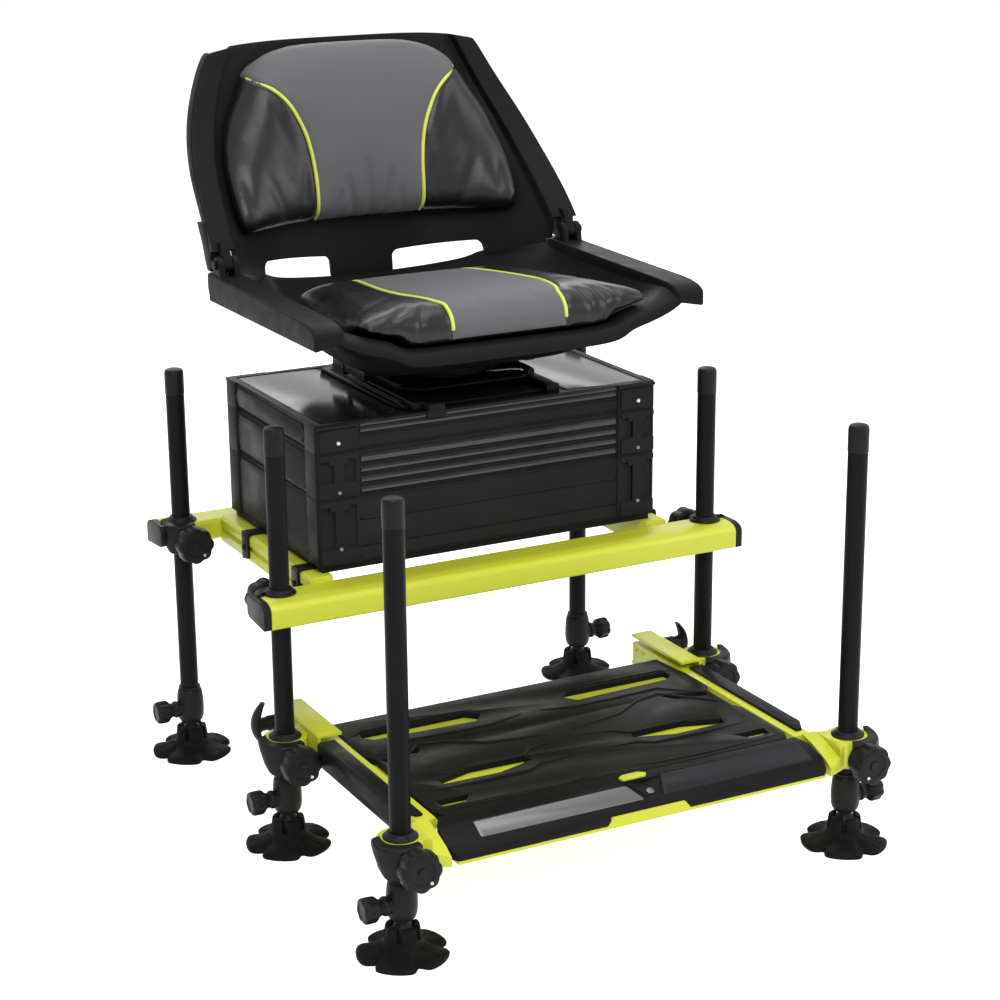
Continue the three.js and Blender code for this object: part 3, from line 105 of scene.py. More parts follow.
def tube(path, radius, sides):
    """A round tube along a list of points, with rounded ends."""
    path = [Vector(p) for p in path]
    side = (path[1] - path[0]).normalized().orthogonal().normalized()
    rings = []
    for i, point in enumerate(path):
        along = (path[min(i + 1, len(path) - 1)] - path[max(i - 1, 0)]).normalized()
        side = (side - along * side.dot(along)).normalized()
        other = along.cross(side)
        rings.append([point + radius * (side * a + other * b) for a, b in circle(1, sides)])
    for end, near in ((0, 1), (-1, -2)):
        tip = path[end] - (path[near] - path[end]).normalized() * radius * 0.5
        rings.insert(0 if near > 0 else len(rings), [tip + (p - path[end]) * 0.6 for p in rings[end]])
    return loft(rings)


def slab(outline, low, high, axis="z", bevel=0.8, steps=2):
    """Pushes an outline along an axis, with rounded edges. The outline's points are (y, z) for
    axis x, (z, x) for axis y and (x, y) for axis z."""
    curve = bpy.data.curves.new("outline", "CURVE")
    curve.dimensions = "2D"
    curve.fill_mode = "BOTH"
    curve.extrude = (high - low) / 2 - bevel
    curve.bevel_depth = bevel
    curve.bevel_resolution = steps - 1
    curve.offset = -bevel
    spline = curve.splines.new("POLY")
    spline.points.add(len(outline) - 1)
    for point, (a, b) in zip(spline.points, outline):
        point.co = (a, b, 0, 1)
    spline.use_cyclic_u = True
    holder = linked("outline", curve)
    mesh = bpy.data.meshes.new_from_object(holder.evaluated_get(bpy.context.evaluated_depsgraph_get()))
    middle = (low + high) / 2
    order = {"x": (2, 0, 1), "y": (1, 2, 0), "z": (0, 1, 2)}[axis]
    places = [(v.co.x, v.co.y, v.co.z + middle) for v in mesh.vertices]
    points = [tuple(place[i] for i in order) for place in places]
    faces = [tuple(face.vertices) for face in mesh.polygons]
    bpy.data.objects.remove(holder)
    bpy.data.curves.remove(curve)
    bpy.data.meshes.remove(mesh)
    return points, faces


def cutter(outline, low, high, axis="z"):
    """A slab with sharp edges, to cut with."""
    return slab(outline, low, high, axis, 0.01, 1)


def rectangle(a0, b0, a1, b1):
    return [(a0, b0), (a1, b0), (a1, b1), (a0, b1)]


def block(corner, opposite, bevel=0.8):
    (x0, y0, z0), (x1, y1, z1) = corner, opposite
    return slab(rectangle(x0, y0, x1, y1), z0, z1, bevel=bevel)


def rounded(outline, radius, steps=4):
    """The outline with its corners rounded."""
    result = []
    for i, corner in enumerate(outline):
        here = Vector(corner)
        back = Vector(outline[i - 1]) - here
        ahead = Vector(outline[(i + 1) % len(outline)]) - here
        reach = min(radius, back.length * 0.45, ahead.length * 0.45)
        start = here + back.normalized() * reach
        end = here + ahead.normalized() * reach
        for k in range(steps + 1):
            t = k / steps
            result.append(tuple(start * (1 - t) ** 2 + here * 2 * t * (1 - t) + end * t * t))
    return result


def joined(*forms):
    points = []
    faces = []
    for form_points, form_faces in forms:
        base = len(points)
        points.extend(form_points)
        faces.extend(tuple(i + base for i in face) for face in form_faces)
    return points, faces


def moved(form, x=0, y=0, z=0):
    return [(p[0] + x, p[1] + y, p[2] + z) for p in form[0]], form[1]


def turned(form, axis, degrees):
    matrix = Matrix.Rotation(math.radians(degrees), 3, axis)
    return [tuple(matrix @ Vector(p)) for p in form[0]], form[1]


def stretched(form, x=1, y=1):
    faces = [tuple(reversed(face)) for face in form[1]] if x * y < 0 else form[1]
    return [(p[0] * x, p[1] * y, p[2]) for p in form[0]], faces


def mirrored(form):
    return stretched(form, x=-1)


def paired(*forms):
    """Left-hand forms together with their mirror images."""
    form = joined(*forms)
    return joined(form, mirrored(form))


def pointing(form, direction):
    """Turns a form that stands along +Z to point along another axis."""
    return turned(form, *{"-y": ("X", 90), "-x": ("Y", -90), "+x": ("Y", 90)}[direction])


# Objects

def linked(name, data):
    item = bpy.data.objects.new(name, data)
    bpy.context.scene.collection.objects.link(item)
    return item


def tidied(mesh, reach, flat=0):
    """Merges points closer than a reach. Then makes flat stretches whole, where flat gives the
    degrees that count as flat, or else turns all faces outwards."""
    shape = bmesh.new()
    shape.from_mesh(mesh)
    bmesh.ops.remove_doubles(shape, verts=shape.verts, dist=reach * MM)
    if flat:
        limit = math.radians(flat)
        bmesh.ops.dissolve_limit(shape, angle_limit=limit, verts=shape.verts, edges=shape.edges)
    else:
        bmesh.ops.recalc_face_normals(shape, faces=shape.faces)
    shape.to_mesh(mesh)
    shape.free()
    return mesh


def object_of(name, form):
    points, faces = form
    mesh = bpy.data.meshes.new(name)
    mesh.from_pydata([(x * MM, (y + SHIFT_Y) * MM, z * MM) for x, y, z in points], [], faces)
    return linked(name, tidied(mesh, 0.02))


def copy_of(node, name):
    """The CAD node's shape as a new object, with its flat stretches made whole."""
    return linked(name, tidied(frame["nodes"][node].data.copy(), 0.01, 0.6))


def apply_modifiers(item):
    graph = bpy.context.evaluated_depsgraph_get()
    graph.update()
    mesh = bpy.data.meshes.new_from_object(item.evaluated_get(graph))
    old = item.data
    item.modifiers.clear()
    item.data = mesh
    bpy.data.meshes.remove(old)


def modify(item, kind, **settings):
    modifier = item.modifiers.new(kind, kind)
    for name, value in settings.items():
        setattr(modifier, name, value)
    apply_modifiers(item)


def subdivide(item, levels):
    modify(item, "SUBSURF", levels=levels, render_levels=levels)


def bevel_edges(item, width):
    modify(
        item, "BEVEL", width=width * MM, segments=2, limit_method="ANGLE",
        angle_limit=math.radians(30), use_clamp_overlap=True,
    )


def carve(item, *forms):
    """Cuts forms out of an object."""
    for form in forms:
        tool = object_of("cutter", form)
        modify(item, "BOOLEAN", operation="DIFFERENCE", solver="MANIFOLD", object=tool)
        bpy.data.objects.remove(tool)


def shade(item, degrees=38):
    item.data.shade_smooth()
    item.data.set_sharp_from_angle(angle=math.radians(degrees))


def finish_piece(item, on, material, replaced=()):
    """Gives a piece its material and that material's slot, and ties it to a body, which is
    given by its own name or by one of its nodes."""
    item.data.materials.clear()
    item.data.materials.append(material)
    body = BODY_OF.get(on, on)
    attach(item, body)
    if replaced:
        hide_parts(*replaced)
    return item


def piece(name, form, on, material, replaced=(), degrees=38):
    item = object_of(name, form)
    shade(item, degrees)
    return finish_piece(item, on, material, replaced)


def dressed(node, material, name=None, cuts=(), width=0.8):
    """Stands in for a CAD node whose shape is right, with cuts and rounded edges."""
    item = copy_of(node, name or f"{node}_skin")
    carve(item, *cuts)
    bevel_edges(item, width)
    shade(item)
    finish_piece(item, node, material, [node])


# Materials

def fill(node, inputs):
    """Sets numbers on a node's inputs, and links sockets to them."""
    for name, value in inputs.items():
        if isinstance(value, bpy.types.NodeSocket):
            node.id_data.links.new(value, node.inputs[name])
        else:
            node.inputs[name].default_value = value


def output_of(tree, kind, output, inputs, **settings):
    """One output of a new node."""
    node = tree.nodes.new("ShaderNode" + kind)
    for name, value in settings.items():
        setattr(node, name, value)
    fill(node, inputs)
    return node.outputs[output]


class Recipe:
    """Builds one procedural material, a node at a time."""

    def __init__(self, name, color, roughness, metallic=0.0, specular=0.3):
        self.material = bpy.data.materials.new(name)
        self.material.use_nodes = True
        self.tree = self.material.node_tree
        self.shader = self.tree.nodes["Principled BSDF"]
        self.color = (*color, 1)
        self.set({"Base Color": self.color, "Roughness": roughness, "Metallic": metallic})
        self.set({"Specular IOR Level": specular})
        self.place = self.add("TexCoord", "Object", {})
        self.bumped = None

    def add(self, kind, output, inputs, **settings):
        return output_of(self.tree, kind, output, inputs, **settings)

    def set(self, inputs):
        fill(self.shader, inputs)

    def drawn_out(self, scale):
        """Object places, stretched so that a pattern turns into streaks."""
        return self.add("Mapping", "Vector", {"Scale": scale, "Vector": self.place})

    def noise(self, scale, detail=3.0, vector=None):
        inputs = {"Scale": scale, "Detail": detail, "Roughness": 0.55, "Vector": vector or self.place}
        return self.add("TexNoise", "Fac", inputs)

    def ranged(self, value, low, high, to_low=0.0, to_high=1.0):
        inputs = {"Value": value, "From Min": low, "From Max": high, "To Min": to_low, "To Max": to_high}
        return self.add("MapRange", "Result", inputs)

    def tint(self, factor, other):
        """Mixes another colour in by a factor."""
        base = self.shader.inputs["Base Color"]
        first = base.links[0].from_socket if base.is_linked else self.color
        mixed = self.add("Mix", 2, {0: factor, 6: first, 7: (*other, 1)}, data_type="RGBA")
        self.set({"Base Color": mixed})

    def cloud(self, scale, low, high, amount, other):
        """Mixes another colour in, in soft clouds."""
        self.tint(self.ranged(self.noise(scale, 4), low, high, 0.0, amount), other)

    def vary_roughness(self, factor, low, high):
        self.set({"Roughness": self.ranged(factor, 0.3, 0.7, low, high)})

    def bump(self, height, strength, distance):
        inputs = {"Strength": strength, "Distance": distance, "Height": height}
        if self.bumped:
            inputs["Normal"] = self.bumped
        self.bumped = self.add("Bump", "Normal", inputs)
        self.set({"Normal": self.bumped})

    def edge_wear(self, color, amount=0.5):
        """Lightens sharp edges, broken up by noise."""
        soft = self.add("Bevel", "Normal", {"Radius": 0.0012}, samples=4)
        flat = self.add("NewGeometry", "Normal", {})
        bend = self.add("VectorMath", "Value", {0: soft, 1: flat}, operation="DOT_PRODUCT")
        worn = self.ranged(bend, 0.98, 0.85, 0.0, amount)
        patches = self.ranged(self.noise(90), 0.4, 0.65)
        self.tint(self.add("Math", "Value", {0: worn, 1: patches}, operation="MULTIPLY"), color)


def moulded(name, color, roughness, grain=900, depth=0.25, shine=0.08, specular=0.3):
    """Moulded plastic: fine spark grain, faint flow marks and slightly rubbed edges."""
    recipe = Recipe(name, color, roughness, specular=specular)
    recipe.cloud(9, 0.35, 0.75, 0.5, [c * 1.4 + 0.002 for c in color])
    recipe.vary_roughness(recipe.noise(35, 5), roughness - shine, roughness + shine)
    recipe.bump(recipe.noise(grain, 2), depth, 0.0002)
    recipe.edge_wear([c * 2.2 + 0.012 for c in color])
    return recipe.material


def black_aluminium():
    recipe = Recipe("anodised_black", (0.0098, 0.0098, 0.0104), 0.36, specular=0.055)
    drawn = recipe.noise(220, 3, recipe.drawn_out((6, 6, 0.25)))
    recipe.vary_roughness(drawn, 0.3, 0.42)
    recipe.bump(drawn, 0.06, 0.0002)
    recipe.cloud(14, 0.4, 0.8, 0.35, (0.018, 0.018, 0.019))
    return recipe.material


def lime_aluminium():
    recipe = Recipe("lime_coat", (0.71, 0.75, 0.045), 0.4)
    recipe.set({"Coat Weight": 0.25, "Coat Roughness": 0.3})
    recipe.cloud(6, 0.35, 0.75, 0.5, (0.65, 0.70, 0.04))
    recipe.vary_roughness(recipe.noise(60, 5), 0.34, 0.46)
    recipe.bump(recipe.noise(1400, 2), 0.12, 0.0002)
    recipe.bump(recipe.noise(220, 3), 0.04, 0.0005)
    recipe.edge_wear((0.82, 0.86, 0.22), 0.4)
    return recipe.material


def black_rubber():
    recipe = Recipe("foot_rubber", (0.0085, 0.0085, 0.009), 0.6, specular=0.06)
    recipe.tint(recipe.ranged(recipe.noise(30, 6), 0.45, 0.8, 0.0, 0.4), (0.024, 0.023, 0.022))
    recipe.vary_roughness(recipe.noise(50, 5), 0.5, 0.74)
    recipe.bump(recipe.noise(500, 4), 0.35, 0.0003)
    return recipe.material


def leatherette(name, color, roughness, depth, second=None):
    """Pebbled upholstery cover. Where a second colour is given, the middle panel takes it."""
    recipe = Recipe(name, color, roughness, specular=0.36)
    pebble = recipe.add("TexVoronoi", "Distance", {"Scale": 750, "Vector": recipe.place})
    recipe.bump(recipe.ranged(pebble, 0.0, 0.6, 1.0, 0.0), depth, 0.0003)
    recipe.bump(recipe.noise(420, 4), depth * 0.7, 0.0004)
    recipe.bump(recipe.noise(26, 4), 0.05, 0.004)
    recipe.cloud(18, 0.4, 0.8, 0.4, [c * 1.5 for c in color])
    recipe.vary_roughness(recipe.noise(45, 5), roughness - 0.05, roughness + 0.07)
    if second:
        side = recipe.add("Attribute", "Fac", {}, attribute_name="seam_side")
        inside = recipe.ranged(side, -0.1, 0.1, 1.0, 0.0)
        recipe.tint(inside, second)
        outer = recipe.shader.inputs["Roughness"].links[0].from_socket
        recipe.set({"Roughness": recipe.add("Mix", 0, {0: inside, 2: outer, 3: 0.6})})
    return recipe.material


def brushed_metal(name, color, roughness):
    recipe = Recipe(name, color, roughness, 1.0)
    brushed = recipe.noise(300, 3, recipe.drawn_out((0.3, 6, 6)))
    recipe.vary_roughness(brushed, roughness - 0.07, roughness + 0.09)
    recipe.bump(brushed, 0.05, 0.0002)
    return recipe.material


ALUMINIUM = black_aluminium()
NYLON = moulded("clamp_nylon", (0.0115, 0.0115, 0.0122), 0.4, 700, 0.3, specular=0.12)
RUBBER = black_rubber()
LIME = lime_aluminium()
DECK = moulded("deck_plastic", (0.0105, 0.0105, 0.010), 0.36, 1000, 0.3, specular=0.06)
BOX = moulded("box_plastic", (0.0185, 0.0185, 0.019), 0.4, 1100, 0.2, specular=0.04)
# The ribs' plastic is the box plastic painted lighter: a painted highlight for the bright bands the light makes on
# the ribs.
RIB_PAINTED_HIGHLIGHT = moulded("box_rib_painted_highlight", (0.026, 0.026, 0.027), 0.3, 1100, 0.1, specular=0.45)
GLOSS = moulded("box_gloss", (0.014, 0.014, 0.015), 0.16, 1100, 0.06, 0.04, 0.3)
STEEL = moulded("black_steel", (0.008, 0.008, 0.0085), 0.4, 500, 0.12, specular=0.08)
SHELL = moulded("seat_plastic", (0.0095, 0.0095, 0.010), 0.46, 650, 0.5, specular=0.07)
COVER = leatherette("cushion_cover", (0.0072, 0.0072, 0.0078), 0.3, 0.06, (0.118, 0.118, 0.124))
PIPING = leatherette("piping_cover", (0.70, 0.76, 0.14), 0.45, 0.12)
SLATE = moulded("slate_plate", (0.018, 0.0185, 0.022), 0.3, 900, 0.1, specular=0.14)
SILVER = brushed_metal("silver_plate", (0.155, 0.155, 0.16), 0.34)
# Bright steel for the knobs' studs and the swivel lever. On the lid's pins it is a painted highlight, lighter than
# the dull metal of the trays' pins, for the sparkle on one of them.
BRIGHT_STEEL_AND_PIN_HIGHLIGHT = brushed_metal("bright_steel_and_pin_highlight", (0.5, 0.5, 0.51), 0.25)
DULL = brushed_metal("dull_pin", (0.16, 0.16, 0.165), 0.35)


# Dressed CAD nodes

COATS = {
    LIME: ("footplate_pan", "side_rail", "slide_arm"),
    DECK: ("footplate_deck", "footplate_bar", "side_channel"),
    BOX: ("deep_tray", "shallow_tray", "lid"),
    STEEL: ("seat_base", "swivel_plate"),
}

for coat, starts in COATS.items():
    for node in BODY_OF:
        if node.startswith(starts):
            dressed(node, coat)


# Seat shell: pan and back, each a skin between an upper and a lower grid of points

SEAT_WALL = 5
PAN_FRONT = 222
PAN_BACK = 240
PAN_SWEEP = 103
PAN_FLOOR = 574
PAN_FLOOR_HALF = 150
PAN_LIP = 632
PAN_RIM = 643
PAN_RIM_BOW = 13
ARM_INNER = 239
ARM_OUTER = 273
ARM_FRONT_TOP = 667
ARM_HINGE_TOP = 685
ARM_UNDERSIDE = 648
HINGE_Y = 104
HINGE_Z = 699
EAR_RADIUS = 11
EAR_WALL = 8
RISER_RADIUS = 70
RISER_LOW = 553.5

# Height of the pan's middle line as a share of its edge, by share of the way to the rear
PAN_SHARES = [
    (0, 0.78), (0.012, 0.96), (0.05, 1), (0.08, 0.97), (0.14, 0.6), (0.21, 0.2),
    (0.29, 0.02), (0.45, 0), (0.62, 0), (0.76, 0.12), (0.9, 0.5), (1, 1),
]
LIP_SHARE = 0.05
FLAT_SHARE = 0.62
# How far the arms' tops swell above a straight line, and how much their closed front ends
# shrink, by distance from those ends
ARM_SWELL = [(0, 0), (5, 3.5), (14, 7), (30, 9), (50, 9), (300, 0)]
ARM_INSETS = [(0, 6), (0, 2.5), (0.7, 0.8), (2.5, 0), (6, 0), (14, 0), (30, 0), (50, 0), (170, 0), (300, 0)]


def reading(table, place, column=1):
    return float(np.interp(place, [row[0] for row in table], [row[column] for row in table]))


def arm_top(y):
    slope = (ARM_HINGE_TOP - ARM_FRONT_TOP) / (HINGE_Y + PAN_FRONT)
    place = min(y, HINGE_Y) + PAN_FRONT
    return ARM_FRONT_TOP + slope * place + reading(ARM_SWELL, place)


def pan_half_section(share):
    """Half of the pan's section, as (x, z) points, from its middle to its outer hem."""
    edge = PAN_LIP if share < FLAT_SHARE else PAN_RIM
    floor = PAN_FLOOR + reading(PAN_SHARES, share) * (edge - PAN_FLOOR)
    arm = arm_top(-PAN_FRONT + share * (PAN_FRONT + PAN_BACK - PAN_SWEEP))
    bow = PAN_RIM_BOW * share ** 4
    section = [(across * PAN_FLOOR_HALF, floor + bow * across ** 2) for across in (0, 0.45, 1)]
    for across, up in ((0.1, 0.3), (0.45, 0.44), (0.85, 0.7)):
        x = PAN_FLOOR_HALF + across * (ARM_INNER - PAN_FLOOR_HALF)
        section.append((x, floor + bow + up * (arm - floor - bow)))
    turn = SEAT_WALL / 2
    return section + [
        (ARM_INNER, arm - turn), (ARM_INNER + SEAT_WALL, arm), (ARM_OUTER - turn, arm), (ARM_OUTER, arm - turn),
        (ARM_OUTER, min(ARM_UNDERSIDE, arm - SEAT_WALL)),
    ]


def pan_y(share, x):
    sweep = PAN_SWEEP * share ** 2 * (abs(x) / ARM_OUTER) ** 2
    return -PAN_FRONT + share * (PAN_FRONT + PAN_BACK) - sweep


def both_sides(half):
    return [(-a, b) for a, b in reversed(half[1:])] + half


def beside(line, thickness):
    """Moves each point of a line in a plane sideways, and joins points that would cross over."""
    result = []
    for i, (a, b) in enumerate(line):
        a0, b0 = line[max(i - 1, 0)]
        a1, b1 = line[min(i + 1, len(line) - 1)]
        length = math.hypot(a1 - a0, b1 - b0)
        result.append((a + thickness * (b1 - b0) / length, b - thickness * (a1 - a0) / length))
    for i in range(len(line) - 1):
        step, kept = Vector(result[i + 1]) - Vector(result[i]), Vector(line[i + 1]) - Vector(line[i])
        if step.dot(kept) < 0:
            result[i] = result[i + 1] = tuple((Vector(result[i]) + Vector(result[i + 1])) / 2)
    return result


def skin(upper, lower):
    """Closes two matching grids of points into one solid skin."""
    points, faces = loft([up + down[::-1] for up, down in zip(upper, lower)], caps=False)
    count = 2 * len(upper[0])
    for first in (0, count * (len(upper) - 1)):
        for i in range(len(upper[0]) - 1):
            face = (first + i, first + i + 1, first + count - 2 - i, first + count - 1 - i)
            faces.append(face if first == 0 else tuple(reversed(face)))
    return points, faces


def shell_skin(shares, half_section, wall, place):
    """Skin through the sections at some shares. The wall and the place of a section's point
    are functions of the share, and the place also of the distance from the middle."""
    upper = []
    lower = []
    for share in shares:
        line = both_sides(half_section(share))
        for grid, points in ((upper, line), (lower, beside(line, wall(share)))):
            grid.append([place(share, x, *point) for point, (x, _) in zip(points, line)])
    return skin(upper, lower)


def pan_skin():
    return shell_skin(
        [row[0] for row in PAN_SHARES], pan_half_section,
        lambda share: SEAT_WALL * 2 if share < LIP_SHARE else SEAT_WALL,
        lambda share, x, a, b: (a, pan_y(share, x), b),
    )


def hinge_ear(x0, x1):
    foot = arm_top(HINGE_Y) - SEAT_WALL
    outline = [(HINGE_Y - EAR_RADIUS * 1.3, foot), (HINGE_Y + EAR_RADIUS * 1.3, foot)]
    return slab(outline + arc(EAR_RADIUS, 0, math.pi, 14, HINGE_Y, HINGE_Z), x0, x1, "x", 1.0)


def arm_bar():
    """Flat-topped box arm along the left of the pan, closed at its front."""
    rings = []
    for from_front, inset in [*ARM_INSETS, (HINGE_Y + PAN_FRONT + 22, 0)]:
        y = from_front - PAN_FRONT
        top = arm_top(y) + 0.4 - inset
        low = ARM_UNDERSIDE + inset - 0.4
        outer, inner = -ARM_OUTER - 0.4 + inset, -ARM_INNER + SEAT_WALL - inset
        corners = [(outer, low), (inner, low + 8), (inner, top), (outer, top)]
        rings.append([(x, y, z) for x, z in rounded(corners, 3.2)])
    return loft(rings)


def seat_pan():
    shell = object_of("pan_shell", pan_skin())
    subdivide(shell, 3)
    shade(shell, 60)
    finish_piece(shell, "seat", SHELL, ["seat_pan"])
    inner = -ARM_INNER - SEAT_WALL / 2
    outer = -ARM_OUTER + SEAT_WALL / 2
    ears = paired(hinge_ear(inner - EAR_WALL, inner), hinge_ear(outer, outer + EAR_WALL))
    piece("pan_hinge_ears", ears, "seat", SHELL)
    piece("pan_arms", paired(arm_bar()), "seat", SHELL)
    pin = pointing(lathe([(0, 0), (6, 0), (6.5, 1), (6.5, 3), (5.4, 4), (0, 4.4)], 24), "-x")
    shank = pointing(lathe([(4, 0), (4, ARM_OUTER - ARM_INNER - SEAT_WALL)], 20), "+x")
    bolt = moved(joined(pin, shank), outer - 0.2, HINGE_Y, HINGE_Z)
    piece("pan_hinge_pins", paired(bolt), "seat", STEEL)
    under = PAN_FLOOR - SEAT_WALL
    riser = [
        (0, RISER_LOW), (RISER_RADIUS - 2, RISER_LOW), (RISER_RADIUS, RISER_LOW + 2),
        (RISER_RADIUS, under - 4), (RISER_RADIUS + 8, under + SEAT_WALL / 2), (0, PAN_FLOOR - 2),
    ]
    piece("pan_riser", lathe(riser, 64), "seat", SHELL)


BACK_BOTTOM = 635
BACK_TOP = 965
BACK_TOP_BOW = 12.4
BACK_BOTTOM_HALF = 281
BACK_TOP_HALF = 200
BACK_BOTTOM_Y = 246
BACK_TOP_Y = 292
BACK_SWEEP = 140
PILLAR_WIDTH = 36
PILLAR_STEP = 14
PILLAR_SIDE = 24
PILLAR_FOOT = [
    (119.2, 687.5), (134, 687.5), (141, 700), (150, 722), (166, 748), (142, 748), (128, 728), (119.2, 712),
]
WINDOW_TOP = 667
WINDOW_RISE = 11
WINDOW_NEAR = 48
WINDOW_FAR = 167
CUSHION_TOP = 924
CUSHION_ARCH = 35

# Half width and forward sweep of the back's sides, as shares, by share of its height
BACK_SIDES = [
    (0, 0.9, 1.12), (0.14, 0.885, 0.98), (0.3, 0.835, 0.755), (0.43, 0.78, 0.54), (0.61, 0.645, 0.32),
    (0.77, 0.43, 0.16), (0.9, 0.22, 0.09), (0.96, 0.11, 0.08), (1, 0.01, 0.08),
]


def back_half_section(up):
    """Half of the back's section at a height, as (x, y) points, from its middle outwards."""
    half = BACK_TOP_HALF + reading(BACK_SIDES, up) * (BACK_BOTTOM_HALF - BACK_TOP_HALF)
    middle = BACK_BOTTOM_Y + up * (BACK_TOP_Y - BACK_BOTTOM_Y)
    face = middle - BACK_SWEEP * reading(BACK_SIDES, up, 2)
    inner = half - PILLAR_WIDTH
    recess = face + PILLAR_STEP
    shares = (0, 0.28, 0.52, 0.72, 0.88, 0.98)
    near, far = SEAT_WALL / 2, SEAT_WALL * 1.2  # how far the points beside each corner lie from it
    return [(across * inner, middle - (middle - recess) * across ** 2.5) for across in shares] + [
        (inner, recess), (inner + near, face), (inner + far, face), (half - far, face), (half - near, face),
        (half, face + near), (half, face + far), (half, face + PILLAR_SIDE),
    ]


def back_height(up, x):
    low = BACK_BOTTOM + (WINDOW_TOP - BACK_BOTTOM) * 2 * (abs(x) / BACK_BOTTOM_HALF) ** 3
    fall = BACK_TOP_BOW * min(1, abs(x) / BACK_TOP_HALF) ** 4
    return low + up * (BACK_TOP - fall - low)


def back_face(x, z):
    """Where the back's front face lies at a place on the panel between the pillars."""
    low, high = back_height(0, x), back_height(1, x)
    return reading(back_half_section((z - low) / (high - low)), abs(x))


def back_skin():
    return shell_skin(
        [row[0] for row in BACK_SIDES], back_half_section, lambda up: -SEAT_WALL,
        lambda up, x, a, b: (a, b, back_height(up, x)),
    )


def back_window():
    chamfer = WINDOW_RISE / 2
    low = BACK_BOTTOM - 4
    side = -ARM_INNER - SEAT_WALL
    top = WINDOW_TOP + WINDOW_RISE
    outline = [
        (low, -WINDOW_NEAR), (WINDOW_TOP - chamfer, -WINDOW_NEAR), (WINDOW_TOP, -WINDOW_NEAR - chamfer),
        (top, -WINDOW_FAR + chamfer), (top - chamfer, -WINDOW_FAR),
        (PAN_RIM + PAN_RIM_BOW + 2.6, -WINDOW_FAR - 1), (ARM_HINGE_TOP + 0.3, side), (low, side),
    ]
    return cutter(rounded(outline, 4, 3), HINGE_Y, BACK_TOP_Y, "y")


def hinge_room():
    """Room round a hinge, and above the arm behind it."""
    low, step, high = BACK_BOTTOM - 4, ARM_HINGE_TOP + 1, HINGE_Z + EAR_RADIUS + 6
    near, rear = HINGE_Y - EAR_RADIUS * 3, 150
    behind = HINGE_Y + EAR_RADIUS * 1.3 + 0.8
    outline = [(near, low), (rear, low), (rear, step), (behind, step), (behind, high), (near, high)]
    return cutter(outline, -ARM_OUTER - 12, -ARM_INNER + PILLAR_WIDTH / 4, "x")


def pillar_foot():
    """Solid foot of one pillar behind the hinge ears."""
    return slab(rounded(PILLAR_FOOT, 4, 3), -272, -247, "x", 1.2)


def hinge_tongue():
    inset = SEAT_WALL / 2 + EAR_WALL + 0.6
    top = HINGE_Z + EAR_RADIUS * 2 + 6
    outline = arc(EAR_RADIUS, math.pi, 2 * math.pi, 14, HINGE_Y, HINGE_Z)
    outline += [(HINGE_Y + EAR_RADIUS * 1.6, top), (HINGE_Y + EAR_RADIUS / 2, top)]
    return slab(outline, -ARM_OUTER + inset, -ARM_INNER - inset, "x")


def seat_back():
    shell = object_of("back_shell", back_skin())
    subdivide(shell, 3)
    window = back_window()
    room = hinge_room()
    carve(shell, window, mirrored(window), room, mirrored(room))
    shade(shell, 40)
    finish_piece(shell, "backrest", SHELL, ["seat_back"])
    piece("back_hinge_tongues", paired(hinge_tongue(), pillar_foot()), "backrest", SHELL)


seat_pan()
seat_back()


# Cushions

SEAT_FRONT = 205
SEAT_REAR = 118
SEAT_HALF = 207
SEAT_REAR_HALF = 160
SEAT_CREST = 688
SEAT_REAR_CREST = 664
SEAT_ROLL_Y = -172  # middle of the rounded front edge
SEAT_ROLL_Z = 656
BACK_CUSHION_LOW = 722
BACK_CUSHION_THICK = 52
BACK_CUSHION_TOP_HALF = 160
BACK_CUSHION_WIDE = 214
CUSHION_GAP = 3.6
PUFF_LIMIT = 9
CLOTH_STEPS = 20
CLOTH = {
    "quality": 4, "mass": 0.25, "tension_stiffness": 12, "compression_stiffness": 12, "bending_stiffness": 0.4,
    "use_pressure": True, "uniform_pressure_force": 4, "vertex_group_mass": "held",
}
CUSHION_VOXEL = 5
SEAM_HOLD = 5
SEAM_WIDTH = 4.5
PIPING_RADIUS = 2.7
PIPING_LIFT = 0.6
BACK_CUSHION_WIDTHS = [
    (0, 0.78), (0.08, 0.93), (0.2, 0.99), (0.35, 1), (0.5, 0.9), (0.65, 0.72), (0.86, 0.28), (1, 0),
]
# How far each piped seam lies from the middle, by height on the back and by depth on the seat
BACK_SEAM = [
    (713, 80), (740, 80), (770, 80.5), (809, 83), (843, 90), (865, 99), (890, 114), (908, 135),
    (916, 152), (926, 170),
]
SEAT_SEAM = [
    (-215, 76), (-209, 79), (-181, 83), (-140, 92), (-96, 100), (-50, 100), (0, 95), (60, 86), (115, 77),
]
# Creases: both ends, as x and height on the back and as x and depth on the seat, then how deep
# and how wide each one is
BACK_CREASES = [
    (-22, 724, -34, 782, 3.4, 5), (2, 722, -3, 800, 3.8, 6), (22, 724, 33, 786, 3.4, 5),
    (-50, 730, -42, 764, 2.2, 4), (50, 730, 46, 762, 2.2, 4), (-104, 735, -94, 812, 2.2, 8),
    (98, 735, 90, 822, 2.6, 7), (128, 728, 156, 800, 2.4, 8), (-130, 730, -158, 795, 2.2, 8),
    (-188, 752, -196, 812, 1.6, 7), (182, 752, 190, 800, 1.6, 7),
]
SEAT_CREASES = [
    (-168, -206, -128, -172, 3.0, 6), (-128, -208, -108, -176, 2.4, 5), (118, -208, 106, -172, 3.2, 5),
    (140, -208, 130, -168, 4.0, 5), (162, -206, 146, -164, 3.4, 5), (-190, -150, -120, -116, 1.6, 9),
    (184, -120, 118, -96, 1.6, 9), (-40, -206, -30, -160, 1.2, 8), (46, -206, 38, -158, 1.2, 8),
]


